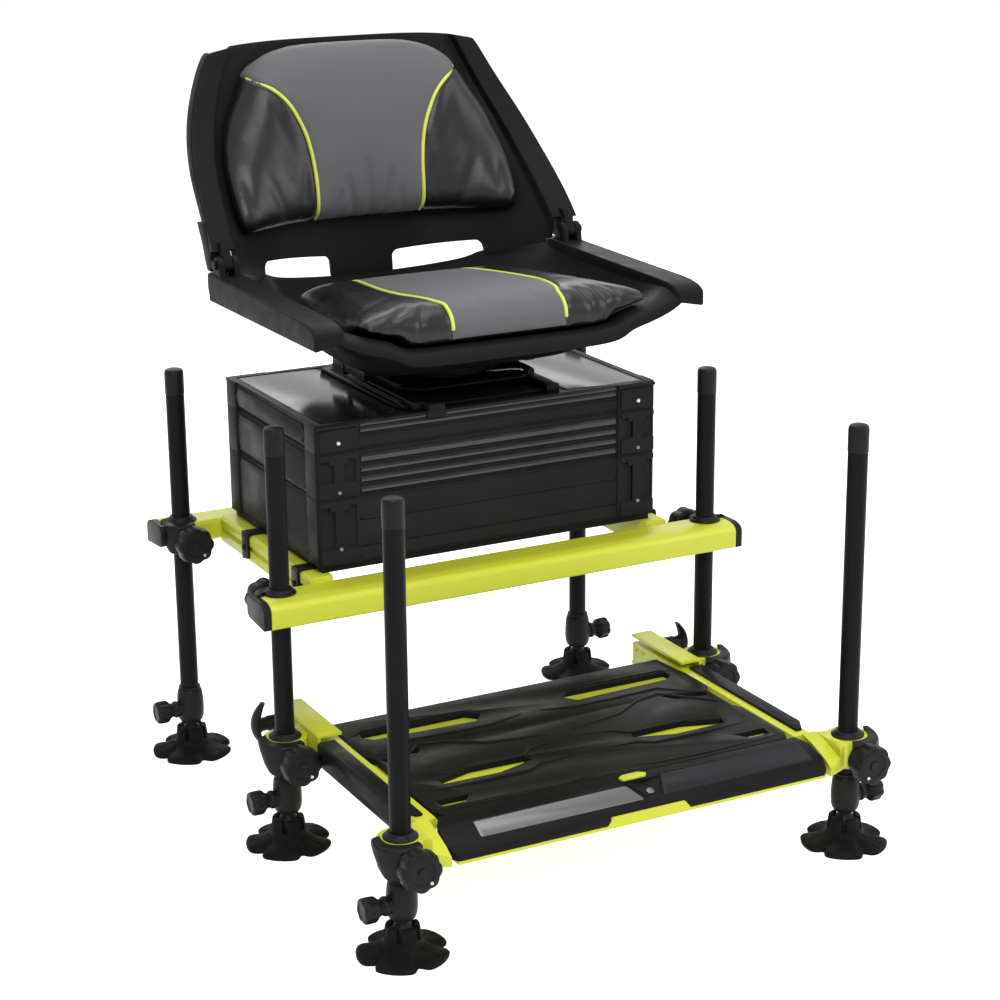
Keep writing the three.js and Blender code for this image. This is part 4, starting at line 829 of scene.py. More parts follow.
def smooth_reading(table, place):
    """Reads a table along a smooth curve through its points."""
    places, values = zip(*table)
    place = min(max(place, places[0]), places[-1])
    i = min(max(np.searchsorted(places, place) - 1, 0), len(places) - 2)
    span = places[i + 1] - places[i]
    t = (place - places[i]) / span
    rises = [(values[k + 1] - values[k]) / (places[k + 1] - places[k]) for k in range(len(places) - 1)]
    slope_in = (rises[max(i - 1, 0)] + rises[i]) / 2
    slope_out = (rises[i] + rises[min(i + 1, len(rises) - 1)]) / 2
    a = values[i] * (1 + 2 * t) * (1 - t) ** 2 + values[i + 1] * t * t * (3 - 2 * t)
    return float(a + span * (slope_in * t * (1 - t) ** 2 - slope_out * t * t * (1 - t)))


def fullness(place, power=6):
    return max(0.0, 1 - abs(2 * place - 1) ** power) ** 0.5


def crowned(rows, columns, spot):
    """A closed cushion over a grid of places, from a function that gives its two faces."""
    upper = []
    lower = []
    for i in range(rows + 1):
        along = (1 - math.cos(math.pi * i / rows)) / 2
        faces = [spot(-math.cos(math.pi * j / columns), along) for j in range(columns + 1)]
        upper.append([face[0] for face in faces])
        lower.append([face[1] for face in faces])
    return skin(upper, lower)


def pan_top(x, y):
    """Height of the pan's top face at a place, found by halving the range from front to rear."""
    near, far = 0.0, 1.0
    for _ in range(18):
        share = (near + far) / 2
        near, far = (share, far) if pan_y(share, x) < y else (near, share)
    return reading(pan_half_section(near), abs(x))


def seat_spot(across, along):
    y = -SEAT_FRONT + along * (SEAT_FRONT + SEAT_REAR)
    half = SEAT_HALF + along * (SEAT_REAR_HALF - SEAT_HALF)
    crest = SEAT_CREST + along * (SEAT_REAR_CREST - SEAT_CREST)
    full = fullness((1 + across) / 2, 7) * fullness(0.015 + 0.97 * along, 8)
    x = across * (half - half * 0.06 * (1 - fullness(along)))
    low = pan_top(abs(x) + 12, y) + CUSHION_GAP
    middle = max(PAN_LIP + CUSHION_GAP, low) + 2
    return (x, y, middle + (crest - middle) * full), (x, y, low)


def back_spot(across, along):
    arch = CUSHION_ARCH * (1 - across ** 4)
    z = BACK_CUSHION_LOW + along * (CUSHION_TOP - BACK_CUSHION_LOW) + along ** 2 * arch
    wide = smooth_reading(BACK_CUSHION_WIDTHS, along)
    x = across * (BACK_CUSHION_TOP_HALF + wide * (BACK_CUSHION_WIDE - BACK_CUSHION_TOP_HALF))
    full = fullness((1 + across) / 2, 7) * fullness(0.015 + 0.97 * along, 7)
    rear = back_face(x, z) - CUSHION_GAP
    return (x, rear - 1.2 - BACK_CUSHION_THICK * full, z), (x, rear, z)


def local_points(item):
    """An object's points as an array, in millimetres from the middle of the legs."""
    flat = np.empty(len(item.data.vertices) * 3)
    item.data.vertices.foreach_get("co", flat)
    return flat.reshape(-1, 3) / MM - (0, SHIFT_Y, 0)


def set_local_points(item, points):
    item.data.vertices.foreach_set("co", ((points + (0, SHIFT_Y, 0)) * MM).ravel())
    item.data.update()


def point_normals(item):
    flat = np.empty(len(item.data.vertices) * 3)
    item.data.vertices.foreach_get("normal", flat)
    return flat.reshape(-1, 3)


def inflate(item, held):
    """Blows the cover up like a stuffed cushion. Held points stay, and none moves past the limit."""
    before = local_points(item)
    group = item.vertex_groups.new(name="held")
    for i, weight in enumerate(held):
        if weight > 0.01:
            group.add([i], float(weight), "REPLACE")
    cloth = item.modifiers.new("cloth", "CLOTH")
    for setting, value in CLOTH.items():
        setattr(cloth.settings, setting, value)
    cloth.settings.effector_weights.gravity = 0
    cloth.point_cache.frame_start = 1
    cloth.point_cache.frame_end = CLOTH_STEPS
    for step in range(1, CLOTH_STEPS + 1):
        bpy.context.scene.frame_set(step)
    apply_modifiers(item)
    bpy.context.scene.frame_set(1)
    item.vertex_groups.clear()
    step = local_points(item) - before
    length = np.linalg.norm(step, axis=1, keepdims=True)
    set_local_points(item, before + step * np.minimum(1, PUFF_LIMIT / np.maximum(length, 1e-6)))


def crease_depth(places, a0, b0, a1, b1, depth, width):
    """Depth of a soft crease along a line on a face, fading at its ends."""
    start, way = np.array((a0, b0), float), np.array((a1 - a0, b1 - b0), float)
    share = np.clip(((places - start) @ way) / (way @ way), 0, 1)
    away = np.linalg.norm(places - (start + share[:, None] * way), axis=1)
    fade = np.sin(np.pi * np.clip(share * 0.9 + 0.05, 0, 1)) ** 0.7
    return depth * fade * np.exp(-(away / width) ** 2)


def cushion(node, body, spot, seam, along, front, groove, creases):
    """A stuffed cushion with two seams. Its seam and creases run along one axis, Y or Z, and
    its face looks towards the front direction."""

    def seam_offsets(points):
        """How far each point lies outside the nearer seam, negative in the middle panel."""
        return np.abs(points[:, 0]) - np.array([smooth_reading(seam, place) for place in points[:, along]])

    item = object_of(f"{node}_cover", crowned(26, 40, spot))
    modify(item, "REMESH", mode="VOXEL", voxel_size=CUSHION_VOXEL * MM)
    facing = point_normals(item) @ np.array(front, float)
    held = np.exp(-(seam_offsets(local_points(item)) / SEAM_HOLD) ** 2) * np.clip(facing * 3, 0, 1)
    inflate(item, np.clip(held + np.clip(-facing * 2, 0, 1), 0, 1))
    modify(item, "SMOOTH", factor=0.5, iterations=10)
    subdivide(item, 1)
    points = local_points(item)
    normals = point_normals(item)
    offsets = seam_offsets(points)
    shown = np.clip(normals @ np.array(front, float) * 2.5 + 0.4, 0, 1)
    depth = groove * np.exp(-(offsets / SEAM_WIDTH) ** 2) * shown
    for crease in creases:
        depth += crease_depth(points[:, [0, along]], *crease) * shown
    set_local_points(item, points - normals * depth[:, None])
    side = item.data.attributes.new("seam_side", "FLOAT", "POINT")
    side.data.foreach_set("value", np.where(shown > 0.02, offsets, np.abs(offsets)).astype(np.float32))
    shade(item, 80)
    finish_piece(item, body, COVER, [node])
    return item


def piping(name, item, path, body):
    """A piped seam laid on a cushion's face, where rays along a path of (point, direction) meet it."""
    tree = BVHTree.FromObject(item, bpy.context.evaluated_depsgraph_get())
    shift = Vector((0, SHIFT_Y, 0))
    line = []
    for point, direction in path:
        way = Vector(direction).normalized()
        hit, normal = tree.ray_cast((Vector(point) + shift) * MM - way * 0.3, way)[:2]
        if hit:
            line.append((hit + normal * PIPING_LIFT * MM) / MM - shift)
    last = len(line) - 1
    smooth = []
    for i in range(last + 1):
        smooth.append(sum((line[min(max(i + k, 0), last)] for k in range(-2, 3)), Vector()) / 5)
    piece(name, tube(smooth, PIPING_RADIUS, 14), body, PIPING)


def back_cushion():
    face = (0, -1, 0.1)
    item = cushion("back_cushion", "backrest", back_spot, BACK_SEAM, 2, face, 3.2, BACK_CREASES)
    heights = np.linspace(BACK_CUSHION_LOW + 3, 925, 70)
    for hand, side in HANDS:
        path = [((side * smooth_reading(BACK_SEAM, z), 250, z), (0, 1, 0)) for z in heights]
        piping(f"back_piping_{hand}", item, path, "backrest")


def seat_cushion():
    face = (0, -0.35, 1)
    item = cushion("seat_cushion", "seat", seat_spot, SEAT_SEAM, 1, face, 3.0, SEAT_CREASES)
    depths = np.linspace(112, SEAT_ROLL_Y, 70)
    turns = [math.radians(90 - 6 * k) for k in range(1, 18)]
    for hand, side in HANDS:
        path = [((side * smooth_reading(SEAT_SEAM, y), y, SEAT_ROLL_Z), (0, 0, -1)) for y in depths]
        front = (side * smooth_reading(SEAT_SEAM, -SEAT_FRONT), SEAT_ROLL_Y, SEAT_ROLL_Z)
        path += [(front, (0, math.cos(t), -math.sin(t))) for t in turns]
        piping(f"seat_piping_{hand}", item, path, "seat")


back_cushion()
seat_cushion()


# Legs, feet, clamps and their knobs

KNOB_DROP = 21.525  # from the top of a clamped piece to the middle of the clamp's knob
PLATE_TOP = 148
# The rail's section, as shares of its width and height
RAIL_OUTLINE = [
    (0, 0.05), (0, 0.7), (0.03, 0.82), (0.1, 0.92), (0.27, 1), (0.92, 1), (1, 0.86), (1, 0.26),
    (0.9, 0.12), (0.05, 0),
]
RAIL_NOSE = 38
RAIL_INNER = 19
RAIL_LOW = 305
RAIL_HIGH = 339
RAIL_HALF = 337.5
PETALS = 5


def placed(form, side, x=0, y=0, way=-1):
    """Takes a form made for a left-hand leg with its knob towards -Y to its own leg."""
    return moved(stretched(form, x=-side, y=-way), x, y)


def lobed(radius, waist, lobes, power=1.0):
    """Outline of a hand knob: rounded lobes with narrow waists between them."""
    count = lobes * 12
    outline = []
    for i in range(count):
        angle = 2 * math.pi * i / count
        reach = radius - waist * (1 - abs(math.cos(lobes * angle / 2))) ** power
        outline.append((reach * math.cos(angle), reach * math.sin(angle)))
    return outline


def grip(outline, radius, levels, core):
    """Body of a hand knob along +Z, from levels given as a share of its radius and a height.
    Levels at or below the core share are round."""
    rings = []
    for share, height in levels:
        blend = max(0.0, min(1.0, (share - core) / 0.3))
        scales = [share * (blend + (1 - blend) * radius / math.hypot(a, b)) for a, b in outline]
        rings.append([(a * s, b * s, height) for (a, b), s in zip(outline, scales)])
    return loft(rings)


def leg_forms():
    rod = [(0, 60), (LEG_RADIUS, 60), (LEG_RADIUS, LEG_TOP - 34), (0, LEG_TOP - 34)]
    cap = [(12.2, -35), (13, -34.2), (13, -7), (12.6, -4), (11.2, -1.5), (8, -0.3), (0, 0)]
    shoe = arc(14, -math.pi / 2, math.radians(54), 14, 0, 30) + [
        (8, 42.5), (8, 45.5), (11, 46), (14.5, 47.2), (16.4, 50), (17.9, 55), (18.5, 62), (18.5, 72), (18, 82),
        (17, 90), (15.6, 94), (14.4, 95), (14.8, 95.6), (15.2, 97), (14.6, 98.4), (12.6, 98.8),
    ]
    boss = [
        (0, 6), (11, 6), (11, 16), (10.2, 17.4), (10.2, 19), (11.6, 19.8), (11.8, 23), (10.8, 25),
        (9.6, 26), (9.6, 28.7), (0, 28.7),
    ]
    arm = moved(pointing(lathe(boss, 32), "-x"), z=66)
    return lathe(rod, 64), moved(lathe(cap), z=LEG_TOP), joined(lathe(shoe), arm)


def foot_form():
    """Five broad petals round a slotted hub that holds the ball."""
    turns = [2 * math.pi * i / (PETALS * 24) for i in range(PETALS * 24)]
    rings = []
    for share, height in (
        (0.955, 0.0), (0.99, 1.2), (1, 4.2), (0.985, 6.6), (0.95, 8.2), (0.9, 9.0), (0.8, 10.2), (0.66, 12.0),
        (0.56, 13.8),
    ):
        ring = []
        for t in turns:
            wave = (1 - math.cos(PETALS * t)) / 2
            reach = share * (55 - 12 * wave ** 9 * (0.35 + 0.65 * share ** 2))
            sunk = 2.4 * wave ** 2 if 5 < height < 13 else 0
            ring.append((reach * math.sin(t), reach * math.cos(t), height - sunk))
        rings.append(ring)
    for radius, height in (
        (25.5, 15.2), (23.6, 16.6), (22.8, 19), (22.2, 23), (16.2, 23), (15, 27), (14.9, 27), (13.4, 22),
        (9, 17.6), (0.5, 15.4),
    ):
        rings.append([(radius * math.sin(t), radius * math.cos(t), height) for t in turns])
    tab = [
        (15.6, 21), (15.3, 30), (14.4, 36), (13.9, 38.2), (15, 39), (18.6, 39), (20, 38.2), (20.5, 36), (22.4, 21),
    ]
    half = math.radians(27)
    rib = slab([(13, 24), (8.2, 50), (9.8, 50), (12.4, 36), (16.6, 24)], -1.5, 1.5, "y", 0.6)
    tabs, ribs = [], []
    for k in range(PETALS):
        middle = math.pi / 2 + 2 * math.pi / PETALS * (k + 0.5)
        fan = arc(1, middle - half, middle + half, 8)
        tabs.append(loft([[(r * a, r * b, h) for r, h in tab] for a, b in fan]))
        ribs.append(turned(rib, "Z", 90 + 360 / PETALS * k))
    return joined(loft(rings), *tabs), joined(*ribs)


def shoe_knob():
    levels = [
        (0.55, 0), (0.66, 0.4), (0.7, 2.2), (0.86, 3.8), (0.97, 6.2), (1, 9), (1, 17), (0.965, 19.6), (0.88, 21.4),
        (0.76, 22), (0.6, 22), (0.56, 21.2), (0.2, 21),
    ]
    return moved(pointing(grip(lobed(16, 2.2, 7), 16, levels, 0.6), "-x"), -29.3, 0, 66)


def clamp_knob(height):
    """Hand knob with eight grips, towards -Y, with its screw, and the stud in its face."""
    levels = [
        (0.6, 38.3), (0.72, 38.2), (0.9, 39), (0.98, 40.6), (1, 43), (1, 54), (0.985, 57), (0.94, 59.2), (0.87, 60),
        (0.6, 60), (0.56, 58.6), (0.2, 58),
    ]
    body = grip(lobed(25.6, 2.5, 8, 0.9), 25.6, levels, 0.55)
    ring = lathe([(6.2, 57.6), (6.2, 59.4), (5.6, 60), (0, 60.2)], 32)
    screw = lathe([(0, 13.2), (4, 13.2), (4, 41), (0, 41)], 24)
    stud = lathe([(2.5, 57.5), (2.5, 59.8), (1.9, 60.7), (0, 61)], 20)
    whole = pointing(joined(body, ring, screw), "-y")
    return moved(whole, z=height), moved(pointing(stud, "-y"), 10, 0, height - 13.5)


def jaw_form(inner, top, steps=30):
    """Curved jaw round the left of a clamp, with a horn at its free end and a lip over the ring."""
    rings = []
    for k in range(steps + 1):
        share = k / steps
        near = min(1, share / 0.4)
        grown = near * near * (3 - 2 * near)
        tall = 41 * (0.3 + 0.7 * grown) * (1 - 0.25 * max(0, (share - 0.8) / 0.2) ** 2)
        high = top + 4 * max(0.0, 1 - share / 0.3) ** 1.5
        thick = 11.5 * (0.3 + 0.7 * math.sin(math.pi * min(1, 0.1 + 0.85 * share)) ** 0.7)
        section = [
            (inner, high - tall), (inner + thick * 0.8, high - tall + 3),
            (inner + thick, high - tall * 0.5), (inner + thick * 0.9, high + 1),
            (inner - 3.6, high + 2.4), (inner - 3.6, high + 1),
        ]
        a, b = arc(1, math.pi * (0.97 + 0.66 * share), 0, 1)[0]
        rings.append([(r * a, r * b, z) for r, z in rounded(section, 4)])
    return loft(rings)


def clamp_forms(underside, top, ring):
    """A liner with its collar, and the curved jaw that carries the knob."""
    rim = top + 7.3
    lower = underside - 3.8
    liner = [
        (12.8, lower), (16.4, lower), (18, lower + 0.8), (18, underside - 0.4), (16.3, underside - 0.4),
        (16.3, top + 0.3), (20.6, top + 0.3), (21, top + 1), (20.6, top + 2), (18.6, top + 3.2),
        (16.4, top + 5), (15.4, rim - 0.4), (14.8, rim), (12.8, rim), (12.8, lower),
    ]
    inner = ring + 0.9
    height = top - KNOB_DROP
    if inner + 9 > 36:
        boss = [(0, inner), (19.5, inner), (18.8, inner + 2.5), (17, 36.6), (16, 37.6), (0, 37.6)]
    else:
        boss = [
            (0, inner + 2), (19, inner + 2), (18.6, inner + 5), (17, inner + 7.5), (15.4, inner + 9),
            (15.4, 37.6), (0, 37.6),
        ]
    post = moved(pointing(lathe(boss, 40), "-y"), z=height)
    pad = block((-9, -inner - 4, height - 9), (9, -14.6, height + 9), 1)
    return joined(lathe(liner, 56), jaw_form(inner, top - 0.6), post, pad)


def rail_outline(outer, inner):
    """The rail's section, as (y, z) points, from its outer to its inner face."""
    return [(outer + a * (inner - outer), RAIL_LOW + b * (RAIL_HIGH - RAIL_LOW)) for a, b in RAIL_OUTLINE]


def build_legs():
    rod, top, shoe = leg_forms()
    petals, ribs = foot_form()
    parts = (
        ("leg", "tube", rod, ALUMINIUM), ("leg", "cap", top, NYLON), ("leg", "shoe", shoe, NYLON),
        ("foot", "petals", petals, RUBBER), ("foot", "ribs", ribs, RUBBER),
        ("foot_knob", "grip", shoe_knob(), NYLON),
    )
    for place, side, y in LEG_PLACES:
        for kind, part, form, material in parts:
            node = f"{kind}_{place}"
            replaced = [node] if part in ("tube", "petals", "grip") else ()
            piece(f"{node}_{part}", placed(form, side, side * LEG_X, y), node, material, replaced)


def build_clamps():
    start = RAIL_HALF - LEG_X + 0.3
    cap = slab(rounded(rail_outline(RAIL_NOSE, -RAIL_INNER), 3), -start - 10, -start, "x", 1.6, 3)
    bridge = block((-start - 3, -19, RAIL_HIGH - 17), (-start + 6, -4, RAIL_HIGH - 5), 1)
    frame_form = joined(clamp_forms(RAIL_LOW, RAIL_HIGH, 22), cap, bridge)
    plate_form = clamp_forms(113, PLATE_TOP, 28)
    rows = []
    for place, side, y in LEG_PLACES[:4]:
        rows.append(("frame", place, side, y, 1 if y < 0 else -1, frame_form, RAIL_HIGH))
    for row, y in (("arm", FRONT_Y), ("corner", PLATE_Y)):
        rows += [(row, hand, side, y, -1, plate_form, PLATE_TOP) for hand, side in HANDS]
    for row, place, side, y, way, form, top in rows:
        clamp, knob = f"{row}_clamp_{place}", f"{row}_knob_{place}"
        body, stud = clamp_knob(top - KNOB_DROP)
        x = side * LEG_X
        piece(f"{clamp}_jaw", placed(form, side, x, y, way), clamp, NYLON, [clamp])
        piece(f"{knob}_grip", placed(body, side, x, y, way), knob, NYLON, [knob])
        piece(f"{knob}_stud", placed(stud, side, x, y, way), knob, BRIGHT_STEEL_AND_PIN_HIGHLIGHT)


def rail_cuts(side):
    """A leg's bore, and the corner of the rail's inner side that is rounded away round it."""
    corner = [(30.5, -3.67), (30.5, 23), (0, 23)] + arc(22, math.pi / 2, -math.asin(3.67 / 22), 20)
    cuts = [cutter(outline, RAIL_LOW - 6, RAIL_HIGH + 6) for outline in (corner, circle(16.7, 48))]
    return [moved(stretched(form, x=side), side * LEG_X) for form in cuts]


def build_rails():
    for name, y, way in (("front_rail", FRONT_Y, -1), ("rear_rail", REAR_Y, 1)):
        section = rounded(rail_outline(-RAIL_NOSE, RAIL_INNER), 6, 5)
        item = object_of(name + "_bar", slab(section, -RAIL_HALF, RAIL_HALF, "x"))
        carve(item, *rail_cuts(-1), *rail_cuts(1))
        set_local_points(item, local_points(item) * (1, -way, 1) + (0, y, 0))
        if way > 0:
            item.data.flip_normals()
        shade(item, 32)
        finish_piece(item, name, LIME, [name])


build_legs()
build_clamps()
build_rails()


# Tackle box details

BOX_HALF = 246
BOX_FACES = ((-1, 150), (1, 155))
POST_WIDTH = 58
DEEP_LOW = 343.9
DEEP_HIGH = 439.5
SHALLOW_LOW = 439.8
SHALLOW_HIGH = 499.8
LID_LOW = 500.1
LID_HIGH = 536.1
LID_RECESS = 1.5
SIDE_FRONT = -112
SIDE_REAR = 117
BASE_HALF = 118


def flat_block(x0, x1, z0, z1, proud, bevel=1.4):
    """A block on a face that looks along -Y at y = 0, standing out of it by a given amount."""
    return block((x0, -proud, z0), (x1, 2, z1), bevel)


def post_relief(low, high):
    """Foot block, flange, bar and step that stand out of one corner post of a tray."""
    return joined(
        flat_block(4, POST_WIDTH - 4, low + 2, low + 22, 2.6),
        flat_block(4, POST_WIDTH - 4, high - 9.5, high - 1.5, 2.6),
        flat_block(23, 36, low + 18, high - 6, 2.2, 1),
        flat_block(16, 43, high - 15, high - 7, 1.8, 0.8),
    )


def lid_relief(low, high):
    rim = flat_block(2, POST_WIDTH, high - 5, high - 0.6, 2.4, 1)
    return joined(flat_block(5, POST_WIDTH - 3, low + 2.5, high - 6, 3), rim)


def at_corners(form):
    """Takes a form made for the left post of a face at y = 0 to all four posts."""
    places = [(side, side * BOX_HALF, way * face, way) for way, face in BOX_FACES for _, side in HANDS]
    return joined(*(placed(form, *place) for place in places))


def face_slats(low, high, shares, proud):
    """Ribs with sloping upper faces along the front and back panels of a tier."""
    forms = []
    reach = BOX_HALF - POST_WIDTH - 3
    for start, end in shares:
        z0, z1 = low + start * (high - low), low + end * (high - low)
        for way, face in BOX_FACES:
            out = way * (face - 2.5)
            far = out + way * proud
            outline = [(out - way, z0), (far, z0 + 1), (far, z1 - 3.4), (out - way, z1)]
            forms.append(slab(outline, -reach, reach, "x", 0.35, 1))
    return joined(*forms)


def side_panels(low, high, depth):
    """Plain raised panel with slanted corners on both sides of a tier."""
    slant = 9
    outline = [
        (SIDE_FRONT + slant, low), (SIDE_REAR - slant, low), (SIDE_REAR, low + slant),
        (SIDE_REAR, high - slant), (SIDE_REAR - slant, high), (SIDE_FRONT + slant, high),
        (SIDE_FRONT, high - slant), (SIDE_FRONT, low + slant),
    ]
    return paired(slab(outline, -BOX_HALF + 2 - depth, -BOX_HALF + 5, "x", 1.2))


def build_box():
    tiers = (
        ("deep_tray", DEEP_LOW + 9, DEEP_HIGH, post_relief, 22, 0.4, DULL),
        ("shallow_tray", SHALLOW_LOW, SHALLOW_HIGH, post_relief, 9, 0.6, DULL),
        # The lid's pins take the bright metal as a painted highlight; the trays' pins keep the dull one.
        ("lid", LID_LOW, LID_HIGH, lid_relief, 13, 1.4, BRIGHT_STEEL_AND_PIN_HIGHLIGHT),
    )
    pin = pointing(lathe([(0, 0), (2.9, 0), (2.9, 3.8), (2.2, 4.6), (0, 4.8)], 20), "-y")
    for tier, low, high, relief, pin_rise, depth, metal in tiers:
        piece(f"{tier}_posts", at_corners(relief(low, high)), tier, BOX)
        piece(f"{tier}_pins", at_corners(moved(pin, 29, 0, low + pin_rise)), tier, metal)
        piece(f"{tier}_sides", side_panels(low + 6, high - 6, depth), tier, BOX)
    shallow = [(0.07, 0.19), (0.29, 0.41), (0.51, 0.63), (0.73, 0.89)]
    # The shallow tray's and the lid's ribs take the lighter rib plastic, a painted highlight; the deep tray's ribs
    # keep the box plastic.
    for tier, low, high, shares, proud, material in (
        ("shallow_tray", SHALLOW_LOW, SHALLOW_HIGH, shallow, 2.2, RIB_PAINTED_HIGHLIGHT),
        ("lid", LID_LOW, LID_HIGH, [(0.6, 0.8), (0.82, 1)], 2, RIB_PAINTED_HIGHLIGHT),
        ("deep_tray", DEEP_LOW, DEEP_HIGH, [(0.13, 0.2), (0.66, 0.72)], 1, BOX),
    ):
        piece(f"{tier}_ribs", face_slats(low, high, shares, proud), tier, material)
    panel = rounded(rectangle(-BOX_HALF + 13.5, -136.5, -BASE_HALF - 2, 141.5), 5, 3)
    piece("lid_panels", paired(slab(panel, LID_HIGH - LID_RECESS - 0.5, LID_HIGH - 0.4, "z", 0.5)), "lid", GLOSS)


def build_rail_clips():
    """Clips that hold the box to the side rails."""
    screw = pointing(lathe([(0, 0), (4, 0), (4, 2.4), (3, 3), (0, 3)], 20), "-x")
    clips = []
    for y in (57, -113):
        plate = rounded([(y - 10, 312), (y + 10, 308), (y + 10, 345), (y - 10, 345)], 3, 3)
        clips.append(slab(plate, -266, -261.6, "x", 0.9))
        clips += [block((-265, y - 10, 343.8), (-240, y + 10, 347), 0.9), moved(screw, -266, y, 326)]
    for hand, side in HANDS:
        piece(f"side_rail_{hand}_clips", placed(joined(*clips), side), f"side_rail_{hand}", NYLON)


def build_base():
    """Slider rails beside the swivel, the lid's catch and the swivel's lock lever."""
    low = LID_HIGH - LID_RECESS + 0.6
    rail = block((-106, -137, low), (-88, 116, low + 12), 1.6)
    web = block((-112, -126, low), (-104, 110, low + 6.4), 1.2)
    piece("base_rails", paired(rail, web), "seat_base", STEEL)
    hook = block((-92, -152.6, LID_HIGH - 8), (-66, -149, LID_HIGH + 2), 1)
    catch = joined(hook, block((-90, -152, LID_HIGH - 1), (-68, -136, LID_HIGH + 10), 1.6))
    piece("lid_catch", catch, "lid", BOX)
    slider = block((-126, -34, 555), (-111, 66, 570), 1.6)
    hanger = block((-127, 30, 550.5), (-110, 62, 574), 2)
    piece("seat_sliders", joined(slider, hanger, mirrored(slider)), "seat", STEEL)
    lever = tube([(40, -62, 556), (52, -74, 558), (62, -86, 561), (70, -96, 562), (76, -104, 561)], 3.2, 12)
    piece("swivel_lever", lever, "seat", BRIGHT_STEEL_AND_PIN_HIGHLIGHT)
    handle = pointing(lathe([(0, 0), (5, 0.4), (6, 2), (6, 14), (5, 16), (0, 16.4)], 24), "-y")
    piece("swivel_lever_grip", moved(handle, 77, -98, 561), "seat", STEEL)


# Footplate details

BAR_FACETS = [(-547, 123.8), (-531.5, 132.5), (-503, 142.9), (-484.2, 147)]
DECK_TOP = 147
# Tread ridges of the deck's right half, as lines of (x, y) points
DECK_RIDGES = [
    [(18, -326), (96, -312), (140, -284), (176, -276), (228, -330), (240, -344)],
    [(62, -206), (110, -203), (222, -205), (236, -214)],
    [(14, -346), (60, -356), (76, -372), (130, -371), (205, -372)],
    [(8, -398), (70, -402), (88, -414), (160, -416), (222, -412)],
    [(20, -462), (60, -470), (130, -474), (236, -468)],
    [(14, -250), (60, -262), (110, -262), (186, -258), (232, -300)],
]
RIDGE_HALF = 2.25
RIDGE_RISE = 1.7
WING_SPAN = 29
WING_PLACE = (-329, -105, 140)  # outer face, depth and height of the left wing knob


def on_bar(y, lift):
    """A height above the front bar's sloping face."""
    return reading(BAR_FACETS, y) + lift


def bar_plate(left, right, high_y=-504.5, low_y=-529.5):
    """Thin plate on the bar's middle facet, between two slanted ends given as (low, high) x."""
    corners = rounded([(left[0], low_y), (right[0], low_y), (right[1], high_y), (left[1], high_y)], 2.5, 3)
    a, b = sum(c[0] for c in corners) / len(corners), (low_y + high_y) / 2
    rings = []
    for lift, share in ((-1.2, 1), (0.5, 1), (0.9, 0.985)):
        ring = [(a + (x - a) * share, b + (y - b) * share) for x, y in corners]
        rings.append([(x, y, on_bar(y, lift)) for x, y in ring])
    return loft(rings)


def deck_ridge(path):
    """A low ridge along a line of points on the deck, tapering to its ends."""
    points = [Vector((x, y, 0)) for x, y in path]
    last = len(points) - 1
    rings = []
    for i, point in enumerate(points):
        along = (points[min(i + 1, last)] - points[max(i - 1, 0)]).normalized()
        full = 0.25 if i in (0, last) else 1
        half, rise = RIDGE_HALF * full, RIDGE_RISE * full
        section = [(-half, -0.6), (-half, rise * 0.35), (-half * 0.4, rise)]
        section += [(-a, b) for a, b in reversed(section)]
        rings.append([(point.x - along.y * a, point.y + along.x * a, DECK_TOP + b) for a, b in section])
    return loft(rings)


def build_corner_brackets():
    """Brackets whose inner wings slope down at the front like the bar beside them."""
    slope = [(y, z + 0.4) for y, z in BAR_FACETS]
    outline = [(-590, 112), (-556, 118)] + slope + [(-484, 170), (-590, 170)]
    above = cutter(outline, 28.6 - LEG_X, 240 - LEG_X, "x")
    for (hand, _), cut in zip(HANDS, (above, mirrored(above))):
        name = f"corner_bracket_{hand}"
        dressed(name, LIME, f"{name}_wing", [cut], 0.9)


def wing_knob():
    """Crescent grip that tapers to rounded tips, on a round stem."""
    rings = []
    for k in range(17):
        place = -1 + k / 8
        thin = max(0.12, 1 - place ** 2) ** 0.5
        middle = 5.5 + 11 * place ** 2
        half, deep = 1.4 + 4.2 * thin, 2 + 8 * thin
        rings.append([(middle + a * half, b * deep, place * WING_SPAN) for a, b in circle(1, 20)])
    stem = lathe([(0, 4), (10, 5), (10, 12), (8.8, 13.5), (8.8, 21), (10, 22.5), (10, 44), (0, 44)], 28)
    screw = lathe([(0, 43), (3, 43), (3, 54), (0, 54)], 16)
    return moved(joined(loft(rings), pointing(stem, "+x"), pointing(screw, "+x")), *WING_PLACE)


def build_wing_knobs():
    form = wing_knob()
    for hand, side in HANDS:
        name = f"slide_lock_knob_{hand}"
        piece(f"{name}_wing", placed(form, side), name, NYLON, [name])


